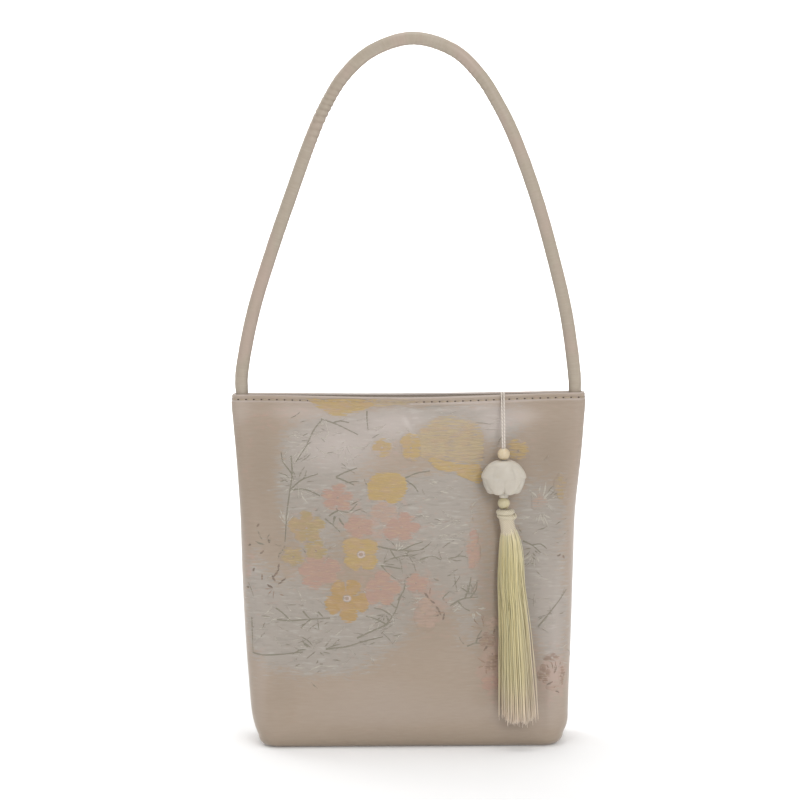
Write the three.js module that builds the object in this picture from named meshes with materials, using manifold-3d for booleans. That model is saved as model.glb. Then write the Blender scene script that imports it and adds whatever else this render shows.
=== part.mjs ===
// A small brocade tote purse with a rolled handle and a beaded tassel that hangs over its rim.
// Millimetres, +Z up. The origin is the middle of the base, on the surface that the purse stands on.
// The front faces -Y, and the tassel hangs in front of it, right of the middle.
import * as THREE from "three";
import { mergeVertices } from "three/addons/utils/BufferGeometryUtils.js";
import Module from "manifold-3d";

// Clearances
const SEAT = 0.3; // between a piece and what carries it
const SEAM_GAP = 0.3; // between two panels that are sewn edge to edge

// The sewn body
const BAG_HEIGHT = 210; // base to rim, at the side seams
const MOUTH_WIDTH = 211; // across the widest part, just below the rim
const MOUTH_DEPTH = 26; // front to back, at the middle of the rim
const BASE_WIDTH = 170; // the flat of the base
const BODY_DEPTH = 55; // front to back, just above the base
const BASE_ROUND = 6.3; // the turn from the walls to the base
const CORNER_ROUND = 13; // in plan, from the face to the side, just above the base
const RIM_SAG = 1.5; // how far the middle of the rim hangs below its ends
const CLOTH = 1.5; // jacquard, interlining and facing, sewn as one wall
const HEM = 4.4; // rim to the line of topstitching
const STITCH_GROOVE = 0.4; // how deep the topstitching pulls the cloth in

// The rolled handle
const HANDLE_THICK = 7.9;
const HANDLE_RISE = 209.3; // rim to the middle of the roll, at the top of the arch
const HANDLE_TAIL = 16; // the end that is sewn inside the mouth

// The pendant, from the rim down
const PENDANT_ACROSS = 0.53 * (MOUTH_WIDTH / 2); // right of the middle, in step with the mouth
const CORD_THICK = 0.9;
const CORD_SPREAD = 2.4; // between the two strands where they cross the rim
const CORD_TAIL = 13; // how far the loop reaches down inside the mouth
const LOOP_SPREAD = 4; // between the two strands at the bottom of the loop
const TACK_HEIGHT = 3; // the sewn bar that holds the loop
const CORD_DROP = 29.6; // rim to the first bead
const TOP_BEAD = 6.8;
const LOTUS_WIDTH = 26;
const LOTUS_DEPTH = 18;
const LOTUS_HEIGHT = 22;
const LOW_BEAD = 7.4;
const CAP_WIDTH = 12.2;
const CAP_HEIGHT = 6.2;
const CAP_KNOT = 3.2; // the knot at the side of the cap
const BINDING_WIDTH = 9.3;
const BINDING_HEIGHT = 9.7;
const BINDING_WALL = 0.9;
const FRINGE_LENGTH = 108; // below the binding
const FRINGE_WIDTH = 25.5; // across its cut end
const FRINGE_DEPTH = 13; // front to back at its cut end
const FRINGE_DRIFT = 8.3; // how far the cut end hangs to the right
const LOCKS = 13;
const LOCK_THICK = 4.6;

// Body sections from the top of the base's round up to the rim, as shares of the sizes above.
// height: of the wall. left and right: half the width at that side, from the base's (0) to the mouth's (1).
// swell: face, from the mouth's depth (0) to the body's (1). square: side, from the handle's seat (0)
// to the body's depth (1). round: of CORNER_ROUND. In the lowest row face and side are equally deep, so
// that the base's edge runs straight.
const BODY_SECTIONS = [
  { height: 0.0, left: 0.0, right: 0.0, swell: 0.9, square: 0.9333, round: 1.0 },
  { height: 0.03, left: 0.16, right: 0.18, swell: 0.98, square: 0.92, round: 1.0 },
  { height: 0.07, left: 0.28, right: 0.22, swell: 1.02, square: 0.87, round: 1.0 },
  { height: 0.14, left: 0.37, right: 0.26, swell: 1.01, square: 0.78, round: 1.0 },
  { height: 0.3, left: 0.53, right: 0.37, swell: 0.88, square: 0.58, round: 0.98 },
  { height: 0.48, left: 0.64, right: 0.47, swell: 0.69, square: 0.37, round: 0.9 },
  { height: 0.65, left: 0.7, right: 0.57, swell: 0.47, square: 0.2, round: 0.7 },
  { height: 0.82, left: 0.84, right: 0.83, swell: 0.22, square: 0.07, round: 0.45 },
  { height: 0.93, left: 0.96, right: 0.96, swell: 0.07, square: 0.01, round: 0.38 },
  { height: 0.97, left: 1.0, right: 1.0, swell: 0.03, square: 0.0, round: 0.36 },
  { height: 1.0, left: 0.97, right: 0.97, swell: 0.0, square: 0.0, round: 0.36 },
];

// Soft hollows (deep > 0) and swells (deep < 0) of the two faces.
// across: of half the mouth's width. up: of the height. wide and tall: of the mouth's width and the
// height. deep: of the body's depth. lean: degrees that the fold leans to the right.
const FRONT_FOLDS = [
  { across: -0.7, up: 0.12, wide: 0.035, tall: 0.13, deep: 0.034, lean: 12 },
  { across: 0.76, up: 0.13, wide: 0.03, tall: 0.12, deep: 0.03, lean: -14 },
  { across: -0.3, up: 0.9, wide: 0.06, tall: 0.09, deep: 0.022, lean: 6 },
  { across: 0.22, up: 0.88, wide: 0.07, tall: 0.07, deep: 0.024, lean: -30 },
  { across: -0.62, up: 0.7, wide: 0.07, tall: 0.2, deep: 0.026, lean: -5 },
  { across: 0.66, up: 0.68, wide: 0.06, tall: 0.18, deep: 0.022, lean: 6 },
  { across: 0.05, up: 0.22, wide: 0.2, tall: 0.12, deep: -0.022, lean: 0 },
];
const BACK_FOLDS = [
  { across: -0.72, up: 0.13, wide: 0.035, tall: 0.12, deep: 0.032, lean: 12 },
  { across: 0.74, up: 0.12, wide: 0.035, tall: 0.13, deep: 0.03, lean: -12 },
  { across: 0.1, up: 0.88, wide: 0.09, tall: 0.09, deep: 0.024, lean: 18 },
  { across: -0.5, up: 0.66, wide: 0.08, tall: 0.2, deep: 0.024, lean: -6 },
  { across: 0.02, up: 0.24, wide: 0.2, tall: 0.13, deep: -0.02, lean: 0 },
];

// The middle of the handle's roll, left foot to right foot.
// across: of half the span between its feet. up: of HANDLE_RISE, above the rim.
const HANDLE_ROUTE = [
  { across: -1.0, up: 0.0 },
  { across: -1.0, up: 0.052 },
  { across: -0.93, up: 0.224 },
  { across: -0.818, up: 0.395 },
  { across: -0.691, up: 0.565 },
  { across: -0.562, up: 0.729 },
  { across: -0.481, up: 0.813 },
  { across: -0.369, up: 0.897 },
  { across: -0.202, up: 0.966 },
  { across: 0.041, up: 1.0 },
  { across: 0.283, up: 0.965 },
  { across: 0.439, up: 0.894 },
  { across: 0.551, up: 0.809 },
  { across: 0.637, up: 0.725 },
  { across: 0.764, up: 0.56 },
  { across: 0.866, up: 0.389 },
  { across: 0.949, up: 0.218 },
  { across: 0.997, up: 0.045 },
  { across: 1.0, up: 0.0 },
];

// The lotus bead hangs mouth down. out: of half its width. down: of its height.
// upper and lower: how strongly each row of petals swells that ring. lobe: how far the petal tips droop.
const LOTUS_RINGS = [
  { out: 0.42, down: 0.025, upper: 0.0, lower: 0.0, lobe: 0 },
  { out: 0.7, down: 0.11, upper: 0.03, lower: 0.0, lobe: 0 },
  { out: 0.87, down: 0.24, upper: 0.06, lower: 0.0, lobe: 0 },
  { out: 0.95, down: 0.38, upper: 0.08, lower: 0.02, lobe: 0 },
  { out: 0.96, down: 0.5, upper: 0.05, lower: 0.05, lobe: 0 },
  { out: 0.93, down: 0.63, upper: 0.0, lower: 0.09, lobe: 0.02 },
  { out: 0.85, down: 0.76, upper: 0.0, lower: 0.12, lobe: 0.05 },
  { out: 0.68, down: 0.85, upper: 0.0, lower: 0.14, lobe: 0.07 },
  { out: 0.46, down: 0.83, upper: 0.0, lower: 0.06, lobe: 0.04 },
  { out: 0.25, down: 0.84, upper: 0.0, lower: 0.0, lobe: 0 },
  { out: 0.23, down: 1.0, upper: 0.0, lower: 0.0, lobe: 0 },
];
const PETALS = 6;

// The cap is two turns of thick soft cord. out: of half its width. down: of its height.
const CAP_RINGS = [
  { out: 0.72, down: 0.0 },
  { out: 0.92, down: 0.06 },
  { out: 0.98, down: 0.22 },
  { out: 0.9, down: 0.4 },
  { out: 0.8, down: 0.5 },
  { out: 0.93, down: 0.6 },
  { out: 1.0, down: 0.78 },
  { out: 0.9, down: 0.94 },
  { out: 0.72, down: 1.0 },
];

// How the fringe hangs. down: of FRINGE_LENGTH. open: from the binding's width to the cut end's.
// drift: of FRINGE_DRIFT.
const FRINGE_SECTIONS = [
  { down: 0.0, open: 0.0, drift: 0.0 },
  { down: 0.06, open: 0.2, drift: 0.14 },
  { down: 0.2, open: 0.4, drift: 0.42 },
  { down: 0.45, open: 0.62, drift: 0.72 },
  { down: 0.75, open: 0.86, drift: 0.9 },
  { down: 1.0, open: 1.0, drift: 1.0 },
];

const wasm = await Module();
wasm.setup();

// The value of one column of a table at a place between its rows, on a smooth curve through them.
function along(table, key, column, at) {
  const last = table.length - 1;
  let i = 0;
  while (i < last - 1 && at > table[i + 1][key]) i += 1;
  const slope = (a, b) => (table[b][column] - table[a][column]) / (table[b][key] - table[a][key]);
  const span = table[i + 1][key] - table[i][key];
  const m0 = slope(Math.max(i - 1, 0), i + 1) * span;
  const m1 = slope(i, Math.min(i + 2, last)) * span;
  const t = THREE.MathUtils.clamp((at - table[i][key]) / span, 0, 1);
  const start = (2 * t - 3) * t * t + 1;
  return (
    start * table[i][column] +
    (1 - start) * table[i + 1][column] +
    ((t - 2) * t + 1) * t * m0 +
    (t - 1) * t * t * m1
  );
}

// A mesh from points and the triangles between them.
function geometryOf(points, triangles) {
  const geometry = new THREE.BufferGeometry();
  geometry.setAttribute("position", new THREE.Float32BufferAttribute(points.flat(), 3));
  geometry.setIndex(triangles);
  return geometry;
}

// Two triangles for the corners a, b, c, d, anticlockwise seen from outside.
const quad = (a, b, c, d) => [a, b, c, a, c, d];

// Body

const handleRadius = HANDLE_THICK / 2;
const halfMouth = MOUTH_DEPTH / 2;
const halfBody = BODY_DEPTH / 2;
const sideSeat = handleRadius + SEAT + CLOTH; // the mouth's half depth where the handle goes in
const baseHalfWidth = BASE_WIDTH / 2 + BASE_ROUND;
const SMALLEST_FLAT = 0.5; // of the side, between its two rounds
const FACE_END = 0.78; // share of half a section that is face
const CORNER_END = 0.94; // share where the corner's round ends and the side starts

// The plan of the body at a height, from 0 at the top of the base's round to 1 at the rim. flank is
// the side that the width is for, left or right.
function sectionAt(height, flank) {
  const value = (column) => along(BODY_SECTIONS, "height", column, height);
  const side = sideSeat + (halfBody - sideSeat) * value("square");
  return {
    width: baseHalfWidth + (MOUTH_WIDTH / 2 - baseHalfWidth) * value(flank),
    face: halfMouth + (halfBody - halfMouth) * value("swell"),
    side,
    round: Math.min(CORNER_ROUND * value("round"), side - SMALLEST_FLAT),
  };
}

// How far the folds press a face in at a place given as shares. They fade out towards the base.
function foldDepth(folds, across, up) {
  let sum = 0;
  for (const fold of folds) {
    const lean = THREE.MathUtils.degToRad(fold.lean);
    const dx = ((across - fold.across) * MOUTH_WIDTH) / 2;
    const dz = (up - fold.up) * BAG_HEIGHT;
    const over = (dx * Math.cos(lean) - dz * Math.sin(lean)) / (fold.wide * MOUTH_WIDTH);
    const rise = (dx * Math.sin(lean) + dz * Math.cos(lean)) / (fold.tall * BAG_HEIGHT);
    sum += fold.deep * BODY_DEPTH * Math.exp(-over * over - rise * rise);
  }
  return sum * THREE.MathUtils.smoothstep(up * BAG_HEIGHT, BASE_ROUND, 4 * BASE_ROUND);
}

// The groove that the topstitching pulls into the cloth below the hem.
function grooveDepth(belowRim) {
  const off = (belowRim - HEM) / (HEM / 3);
  return STITCH_GROOVE * Math.exp(-off * off);
}

// The hang of the rim between its ends, as a factor on every height.
function sagFactor(x) {
  const share = THREE.MathUtils.clamp((2 * x) / MOUTH_WIDTH, -1, 1);
  return 1 - (RIM_SAG / BAG_HEIGHT) * Math.cos((Math.PI / 2) * share) ** 2;
}

// The two halves. flanks: the body's side at the half's left and at its right, as its face is seen.
const FRONT = { folds: FRONT_FOLDS, flanks: ["left", "right"] };
const BACK = { folds: BACK_FOLDS, flanks: ["right", "left"] };

// A point of the outer surface of one half, made with its face looking along -Y.
// u runs from -1 at the left seam to 1 at the right one.
// v runs from -1 at the base's edge, over 0 at the top of the base's round, to 1 at the rim.
// Only the outer surface has the stitched groove.
function bodyPoint(u, v, half, stitched) {
  const turn = (Math.min(v, 0) * Math.PI) / 2;
  const inset = BASE_ROUND * (1 - Math.cos(turn));
  const level = v < 0 ? BASE_ROUND * (1 + Math.sin(turn)) : BASE_ROUND + (BAG_HEIGHT - BASE_ROUND) * v;
  const plan = sectionAt(Math.max(v, 0), half.flanks[u < 0 ? 0 : 1]);
  const place = Math.abs(u);
  let x = plan.width;
  let y = 0;
  if (place <= FACE_END) {
    const share = place / FACE_END;
    const middle = Math.cos((Math.PI / 2) * share);
    x = (plan.width - plan.round) * share;
    const press = foldDepth(half.folds, (2 * Math.sign(u) * x) / MOUTH_WIDTH, level / BAG_HEIGHT);
    y = plan.side + (plan.face - plan.side) * middle * middle - press * (1 - share ** 6);
  } else if (place <= CORNER_END) {
    const angle = (((place - FACE_END) / (CORNER_END - FACE_END)) * Math.PI) / 2;
    x = plan.width + plan.round * (Math.sin(angle) - 1);
    y = plan.side + plan.round * (Math.cos(angle) - 1);
  } else {
    y = ((plan.side - plan.round) * (1 - place)) / (1 - CORNER_END);
  }
  // The turn to the base brings each point in towards the middle, square to the section.
  const dx = place <= FACE_END ? 0 : place >= CORNER_END ? 1 : (x - plan.width + plan.round) / plan.round;
  const dy = place >= CORNER_END ? 0 : Math.sqrt(1 - dx * dx);
  const groove = stitched ? grooveDepth(BAG_HEIGHT - level) : 0;
  const out = new THREE.Vector3(
    Math.sign(u) * (x - (inset + groove * 0.5) * dx),
    -(y - (inset + groove) * dy),
    level,
  );
  out.z *= sagFactor(out.x);
  return out;
}

// The front's distance from the seam plane, at a place on its face.
function faceDepthAt(x, z) {
  const level = z / sagFactor(x);
  const height = THREE.MathUtils.clamp((level - BASE_ROUND) / (BAG_HEIGHT - BASE_ROUND), 0, 1);
  const plan = sectionAt(height, x < 0 ? "left" : "right");
  const share = THREE.MathUtils.clamp(Math.abs(x) / (plan.width - plan.round), 0, 1);
  const middle = Math.cos((Math.PI / 2) * share);
  const press = foldDepth(FRONT_FOLDS, (2 * x) / MOUTH_WIDTH, level / BAG_HEIGHT) * (1 - share ** 6);
  return plan.side + (plan.face - plan.side) * middle * middle - press + SEAM_GAP / 2;
}

const rimHeightAt = (x) => BAG_HEIGHT * sagFactor(x);

// Where the columns and the rows of a panel's mesh lie.
function panelColumns() {
  const half = [];
  for (let i = 1; i <= 10; i += 1) half.push((FACE_END * i) / 10);
  for (let i = 1; i <= 4; i += 1) half.push(FACE_END + ((CORNER_END - FACE_END) * i) / 4);
  for (let i = 1; i <= 2; i += 1) half.push(CORNER_END + ((1 - CORNER_END) * i) / 2);
  return [...half.map((u) => -u).reverse(), 0, ...half];
}

function panelRows() {
  const wall = BAG_HEIGHT - BASE_ROUND;
  const turn = [-1, -0.62, -0.3, 0];
  const face = [0.035, 0.08, 0.15, 0.24, 0.34, 0.44, 0.54, 0.64, 0.73, 0.81, 0.88];
  const hem = [3, 1.7, 1, 0.45, 0].map((share) => 1 - (share * HEM) / wall);
  return [...turn, ...face.filter((height) => height < hem[0]), ...hem];
}

// One panel: the outer surface, the same surface one cloth further in, and the edges between them.
function panelGeometry(half) {
  const columns = panelColumns();
  const rows = panelRows();
  const STEP = 1e-3;
  const outer = [];
  const inner = [];
  for (const v of rows) {
    for (const u of columns) {
      const smooth = (du, dv) =>
        bodyPoint(THREE.MathUtils.clamp(u + du, -1, 1), THREE.MathUtils.clamp(v + dv, -1, 1), half, false);
      const across = smooth(STEP, 0).sub(smooth(-STEP, 0));
      const up = smooth(0, STEP).sub(smooth(0, -STEP));
      const normal = across.cross(up).normalize();
      const point = bodyPoint(u, v, half, true);
      const inside = smooth(0, 0).addScaledVector(normal, -CLOTH);
      // The cut edges stay in their planes: the seams at y = 0, the base's edge upright, the rim level.
      if (Math.abs(u) === 1) inside.y = 0;
      if (v === 1) inside.z = point.z;
      if (v === -1) inside.set(point.x, point.y, point.z + CLOTH);
      outer.push([point.x, point.y - SEAM_GAP / 2, point.z]);
      inner.push([inside.x, inside.y - SEAM_GAP / 2, inside.z]);
    }
  }
  const wide = columns.length;
  const high = rows.length;
  const shift = outer.length;
  const at = (column, row) => row * wide + column;
  const triangles = [];
  for (let row = 0; row < high - 1; row += 1) {
    for (let column = 0; column < wide - 1; column += 1) {
      const low = at(column, row);
      const corners = [low, low + 1, low + wide + 1, low + wide];
      triangles.push(...quad(...corners));
      triangles.push(...quad(...corners.reverse().map((corner) => corner + shift)));
    }
  }
  const edge = (a, b) => triangles.push(...quad(b, a, a + shift, b + shift));
  for (let column = 0; column < wide - 1; column += 1) {
    edge(at(column, 0), at(column + 1, 0));
    edge(at(column + 1, high - 1), at(column, high - 1));
  }
  for (let row = 0; row < high - 1; row += 1) {
    edge(at(0, row + 1), at(0, row));
    edge(at(wide - 1, row), at(wide - 1, row + 1));
  }
  return geometryOf([...outer, ...inner], triangles);
}

// The base lies between the lower edges of the two panels.
function baseGeometry() {
  const plan = sectionAt(0, "left");
  const inset = BASE_ROUND + SEAT;
  const x = plan.width - inset;
  const y = plan.side - BASE_ROUND - SEAT + SEAM_GAP / 2;
  const round = Math.max(plan.round - inset, 1);
  const shape = new THREE.Shape();
  shape.absarc(x - round, y - round, round, 0, Math.PI / 2);
  shape.absarc(round - x, y - round, round, Math.PI / 2, Math.PI);
  shape.absarc(round - x, round - y, round, Math.PI, 1.5 * Math.PI);
  shape.absarc(x - round, round - y, round, 1.5 * Math.PI, 2 * Math.PI);
  return new THREE.ExtrudeGeometry(shape, { depth: CLOTH, bevelEnabled: false, curveSegments: 4 });
}

// Handle

const HANDLE_SIDES = 12;
const footAcross = sectionAt(1, "left").width - CLOTH - SEAT - handleRadius;

function handleGeometry() {
  const tail = -HANDLE_TAIL / HANDLE_RISE;
  const rows = [{ across: -1, up: tail }, ...HANDLE_ROUTE, { across: 1, up: tail }];
  const points = rows.map(
    (row) => new THREE.Vector3(row.across * footAcross, 0, BAG_HEIGHT + row.up * HANDLE_RISE),
  );
  const roll = new THREE.Shape().absarc(0, 0, handleRadius, 0, 2 * Math.PI);
  return new THREE.ExtrudeGeometry(roll, {
    steps: 56,
    curveSegments: HANDLE_SIDES / 2,
    bevelEnabled: false,
    extrudePath: new THREE.CatmullRomCurve3(points, false, "centripetal"),
  });
}

// Pendant

const cordRadius = CORD_THICK / 2;
const strandHalf = cordRadius + 0.1; // each strand's middle, from the pendant's axis, in the beads
const boreRadius = strandHalf + cordRadius + SEAT;
const rimHeight = rimHeightAt(PENDANT_ACROSS);

// Places down the pendant's axis. Each piece hangs one SEAT below the one above it.
const drilledHeight = (width) => 2 * Math.sqrt((width / 2) ** 2 - boreRadius ** 2);
const topBeadTop = rimHeight - CORD_DROP;
const lotusTop = topBeadTop - drilledHeight(TOP_BEAD) - SEAT;
const lowBeadTop = lotusTop - LOTUS_HEIGHT - SEAT;
const capTop = lowBeadTop - drilledHeight(LOW_BEAD) - SEAT;
const bindingTop = capTop - CAP_HEIGHT - SEAT;
const fringeTop = bindingTop - BINDING_HEIGHT;

// The lotus leans on the face, so its depth sets how far in front the axis hangs.
function axisDepth() {
  let most = 0;
  for (let i = 0; i <= 8; i += 1) {
    const z = lotusTop - (LOTUS_HEIGHT * i) / 8;
    most = Math.max(most, faceDepthAt(PENDANT_ACROSS, z) + (LOTUS_DEPTH / 2) * 1.03 + SEAT);
  }
  const bindingRoom = faceDepthAt(PENDANT_ACROSS, fringeTop) + CAP_WIDTH / 2 + SEAT;
  return Math.max(most, bindingRoom);
}
const pendantDepth = axisDepth();

// A solid of rings around the Z axis. Its profile's points are [radius, z], from the top of the bore,
// down the outside, to the bottom of the bore.
function turned(profile, sides) {
  const points = profile.map(([radius, z]) => new THREE.Vector2(radius, z)).reverse();
  points.push(points[0].clone());
  return new THREE.LatheGeometry(points, sides).rotateX(Math.PI / 2);
}

function beadGeometry(width) {
  const SIDES = 14;
  const STEPS = 8;
  const start = Math.asin(boreRadius / (width / 2));
  const profile = [];
  for (let i = 0; i <= STEPS; i += 1) {
    const angle = start + ((Math.PI - 2 * start) * i) / STEPS;
    profile.push([(Math.sin(angle) * width) / 2, (Math.cos(angle) * width) / 2]);
  }
  return turned(profile, SIDES);
}

// One petal's outline around the axis: 1 at its middle and 0 in the crease beside it.
const petal = (angle) => Math.abs(Math.cos((PETALS * angle) / 2)) ** 0.7;

function lotusGeometry() {
  const SIDES = 6 * PETALS;
  const rings = [
    { bore: true, down: 0 },
    ...LOTUS_RINGS,
    { bore: true, down: 1 },
  ];
  const points = [];
  for (const ring of rings) {
    for (let i = 0; i < SIDES; i += 1) {
      const angle = (2 * Math.PI * i) / SIDES;
      let radius = boreRadius;
      let z = -ring.down * LOTUS_HEIGHT;
      if (!ring.bore) {
        const upper = ring.upper * (petal(angle + Math.PI / PETALS) - 0.5);
        const lower = petal(angle) - 0.5;
        radius = Math.max((LOTUS_WIDTH / 2) * ring.out * (1 + upper + ring.lower * lower), boreRadius + 1);
        z -= ring.lobe * LOTUS_HEIGHT * lower;
      }
      const flat = ring.bore ? 1 : THREE.MathUtils.lerp(1, LOTUS_DEPTH / LOTUS_WIDTH, ring.out);
      points.push([radius * Math.cos(angle), radius * Math.sin(angle) * flat, z]);
    }
  }
  const triangles = [];
  for (let ring = 0; ring < rings.length; ring += 1) {
    for (let i = 0; i < SIDES; i += 1) {
      const here = ring * SIDES;
      const next = ((ring + 1) % rings.length) * SIDES;
      const beside = (i + 1) % SIDES;
      triangles.push(...quad(here + i, next + i, next + beside, here + beside));
    }
  }
  return geometryOf(points, triangles);
}

// A geometry as a manifold-3d solid, and back.
function solidOf(geometry) {
  const bare = geometry.clone();
  bare.deleteAttribute("normal");
  bare.deleteAttribute("uv");
  const merged = mergeVertices(bare, 1e-4);
  const vertProperties = new Float32Array(merged.attributes.position.array);
  const triVerts = new Uint32Array(merged.index.array);
  return new wasm.Manifold(new wasm.Mesh({ numProp: 3, vertProperties, triVerts }));
}

function geometryFrom(solid) {
  const mesh = solid.getMesh();
  const geometry = new THREE.BufferGeometry();
  geometry.setAttribute("position", new THREE.BufferAttribute(new Float32Array(mesh.vertProperties), 3));
  geometry.setIndex(new THREE.BufferAttribute(new Uint32Array(mesh.triVerts), 1));
  return geometry;
}

// Two turns of cord round the tassel's neck, with the knot that ends them at the right.
function capGeometry() {
  const profile = CAP_RINGS.map((ring) => [(ring.out * CAP_WIDTH) / 2, -ring.down * CAP_HEIGHT]);
  const turns = turned([[boreRadius, 0], ...profile, [boreRadius, -CAP_HEIGHT]], 18);
  const knot = new THREE.SphereGeometry(CAP_KNOT / 2, 8, 6);
  knot.translate(CAP_WIDTH / 2, 0, -0.68 * CAP_HEIGHT);
  return geometryFrom(solidOf(turns).add(solidOf(knot)));
}

// A sleeve of wound thread: soft ribs outside, smooth inside.
const BINDING_TAPER = 0.9; // the width of its top, as a share of its bottom
const BINDING_VALLEY = 0.93; // the width between two ribs, as a share of a rib
const bindingInside = (BINDING_WIDTH / 2) * BINDING_TAPER * BINDING_VALLEY - BINDING_WALL;

function bindingGeometry() {
  const RIBS = 5;
  const profile = [];
  for (let i = 0; i <= 2 * RIBS; i += 1) {
    const down = i / (2 * RIBS);
    const rib = i % 2 ? 1 : BINDING_VALLEY;
    const taper = THREE.MathUtils.lerp(BINDING_TAPER, 1, down);
    profile.push([(BINDING_WIDTH / 2) * rib * taper, -down * BINDING_HEIGHT]);
  }
  return turned([[bindingInside, 0], ...profile, [bindingInside, -BINDING_HEIGHT]], 16);
}

// The middle of the fringe at a share of its length: it hangs from the binding and lies along the face.
function fringeMiddle(down) {
  const open = along(FRINGE_SECTIONS, "down", "open", down);
  const z = fringeTop - down * FRINGE_LENGTH;
  const x = PENDANT_ACROSS + FRINGE_DRIFT * along(FRINGE_SECTIONS, "down", "drift", down);
  const neck = BINDING_WIDTH / 2;
  const halfDepth = neck + (FRINGE_DEPTH / 2 - neck) * open;
  const halfWidth = neck + (FRINGE_WIDTH / 2 - neck) * open;
  let face = 0;
  for (const side of [-1, 0, 1]) face = Math.max(face, faceDepthAt(x + side * halfWidth, Math.max(z, 0)));
  const depth = Math.max(pendantDepth, face + halfDepth + 2 * SEAT);
  return { x, y: -depth, z, halfWidth, halfDepth };
}

// One lock of the fringe: six-sided sections down its own path. angle and reach place it in the bundle.
function lockGeometry(angle, reach, index) {
  const SIDES = 6;
  const STEPS = 7;
  const sections = [];
  for (let step = 0; step <= STEPS; step += 1) {
    const down = step / STEPS;
    const at = fringeMiddle(down);
    const spread = Math.min(1, 0.35 + down * 3) * reach;
    const thick = (LOCK_THICK / 2) * (0.55 + 0.45 * Math.sin(Math.PI * Math.min(1, 0.15 + 0.75 * down)));
    const sway = 0.25 * LOCK_THICK * Math.sin(5 * down + 2.1 * index) * down;
    const middleX = at.x + Math.cos(angle) * Math.max(at.halfWidth - thick, 0) * spread + sway;
    const middleY = at.y + Math.sin(angle) * Math.max(at.halfDepth - thick, 0) * spread;
    const end = step === STEPS ? 0.02 * FRINGE_LENGTH * Math.sin(7 * index) : 0;
    for (let i = 0; i < SIDES; i += 1) {
      const turn = (2 * Math.PI * i) / SIDES;
      sections.push([middleX + thick * Math.cos(turn), middleY + thick * Math.sin(turn), at.z + end]);
    }
  }
  const triangles = [];
  for (let step = 0; step < STEPS; step += 1) {
    for (let i = 0; i < SIDES; i += 1) {
      const here = step * SIDES;
      const beside = (i + 1) % SIDES;
      triangles.push(...quad(here + i, here + SIDES + i, here + SIDES + beside, here + beside));
    }
  }
  const low = STEPS * SIDES;
  for (let i = 1; i < SIDES - 1; i += 1) {
    triangles.push(0, i, i + 1);
    triangles.push(low, low + i + 1, low + i);
  }
  return geometryOf(sections, triangles);
}

// The core that the binding holds, with the locks fused to it.
function fringeGeometry() {
  const coreRadius = bindingInside - SEAT;
  const coreTop = bindingTop - SEAT;
  const coreLength = BINDING_HEIGHT + 0.05 * FRINGE_LENGTH;
  const core = new THREE.CylinderGeometry(coreRadius, coreRadius, coreLength, 14).rotateX(Math.PI / 2);
  core.translate(PENDANT_ACROSS, -pendantDepth, coreTop - coreLength / 2);
  let bundle = solidOf(core);
  for (let i = 0; i < LOCKS; i += 1) {
    const inner = i % 4 === 3;
    bundle = bundle.add(solidOf(lockGeometry((2 * Math.PI * i) / LOCKS, inner ? 0.35 : 1, i)));
  }
  return geometryFrom(bundle);
}

// The doubled cord: up through the beads, over the rim, round the tack inside and back the same way.
function cordPath() {
  const half = (side) => {
    const strand = side * strandHalf;
    const across = side * (CORD_SPREAD / 2);
    const loop = side * (LOOP_SPREAD / 2);
    const wall = faceDepthAt(PENDANT_ACROSS, rimHeight - 1);
    const outside = wall + SEAT + cordRadius;
    const inside = wall - CLOTH - SEAT - cordRadius;
    const middle = (outside + inside) / 2;
    const over = (outside - inside) / 2;
    const point = (x, depth, z) => new THREE.Vector3(PENDANT_ACROSS + x, -depth, z);
    const insideAt = (below) => faceDepthAt(PENDANT_ACROSS, rimHeight - below) - CLOTH - SEAT - cordRadius;
    return [
      point(strand, pendantDepth, capTop - CAP_HEIGHT + SEAT),
      point(strand, pendantDepth, lotusTop - LOTUS_HEIGHT / 2),
      point(strand, pendantDepth, topBeadTop),
      point((strand + across) / 2, (pendantDepth + outside) / 2, rimHeight - CORD_DROP / 2),
      point(across, outside + 0.15, rimHeight - 2.5),
      point(across, outside, rimHeight - 0.4),
      point(across, middle + over * 0.75, rimHeight + SEAT + cordRadius * 1.6),
      point(across, middle, rimHeight + SEAT + cordRadius * 2.2),
      point(across, middle - over * 0.75, rimHeight + SEAT + cordRadius * 1.6),
      point(across, inside, rimHeight - 0.4),
      point(THREE.MathUtils.lerp(across, loop, 0.4), insideAt(HEM), rimHeight - HEM),
      point(loop, insideAt(0.7 * CORD_TAIL), rimHeight - CORD_TAIL + LOOP_SPREAD / 2),
    ];
  };
  const bottomDepth = faceDepthAt(PENDANT_ACROSS, rimHeight - CORD_TAIL) - CLOTH - SEAT - cordRadius;
  const bottom = new THREE.Vector3(PENDANT_ACROSS, -bottomDepth, rimHeight - CORD_TAIL);
  return new THREE.CatmullRomCurve3([...half(-1), bottom, ...half(1).reverse()], false, "centripetal");
}

function cordGeometry() {
  const SIDES = 8;
  const strand = new THREE.Shape().absarc(0, 0, cordRadius, 0, 2 * Math.PI);
  return new THREE.ExtrudeGeometry(strand, {
    steps: 78,
    curveSegments: SIDES / 2,
    bevelEnabled: false,
    extrudePath: cordPath(),
  });
}

// The sewn bar on the inside of the front panel, through the cord's loop.
function tackGeometry() {
  const width = LOOP_SPREAD - CORD_THICK - 2 * SEAT - 0.3;
  const depth = CORD_THICK + 3 * SEAT;
  const z = rimHeight - CORD_TAIL + LOOP_SPREAD / 2 + TACK_HEIGHT / 2 - 0.4;
  const wall = faceDepthAt(PENDANT_ACROSS, z) - CLOTH - SEAT;
  const tack = new THREE.BoxGeometry(width, depth, TACK_HEIGHT);
  tack.translate(PENDANT_ACROSS, -wall + depth / 2, z);
  return tack;
}

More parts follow.
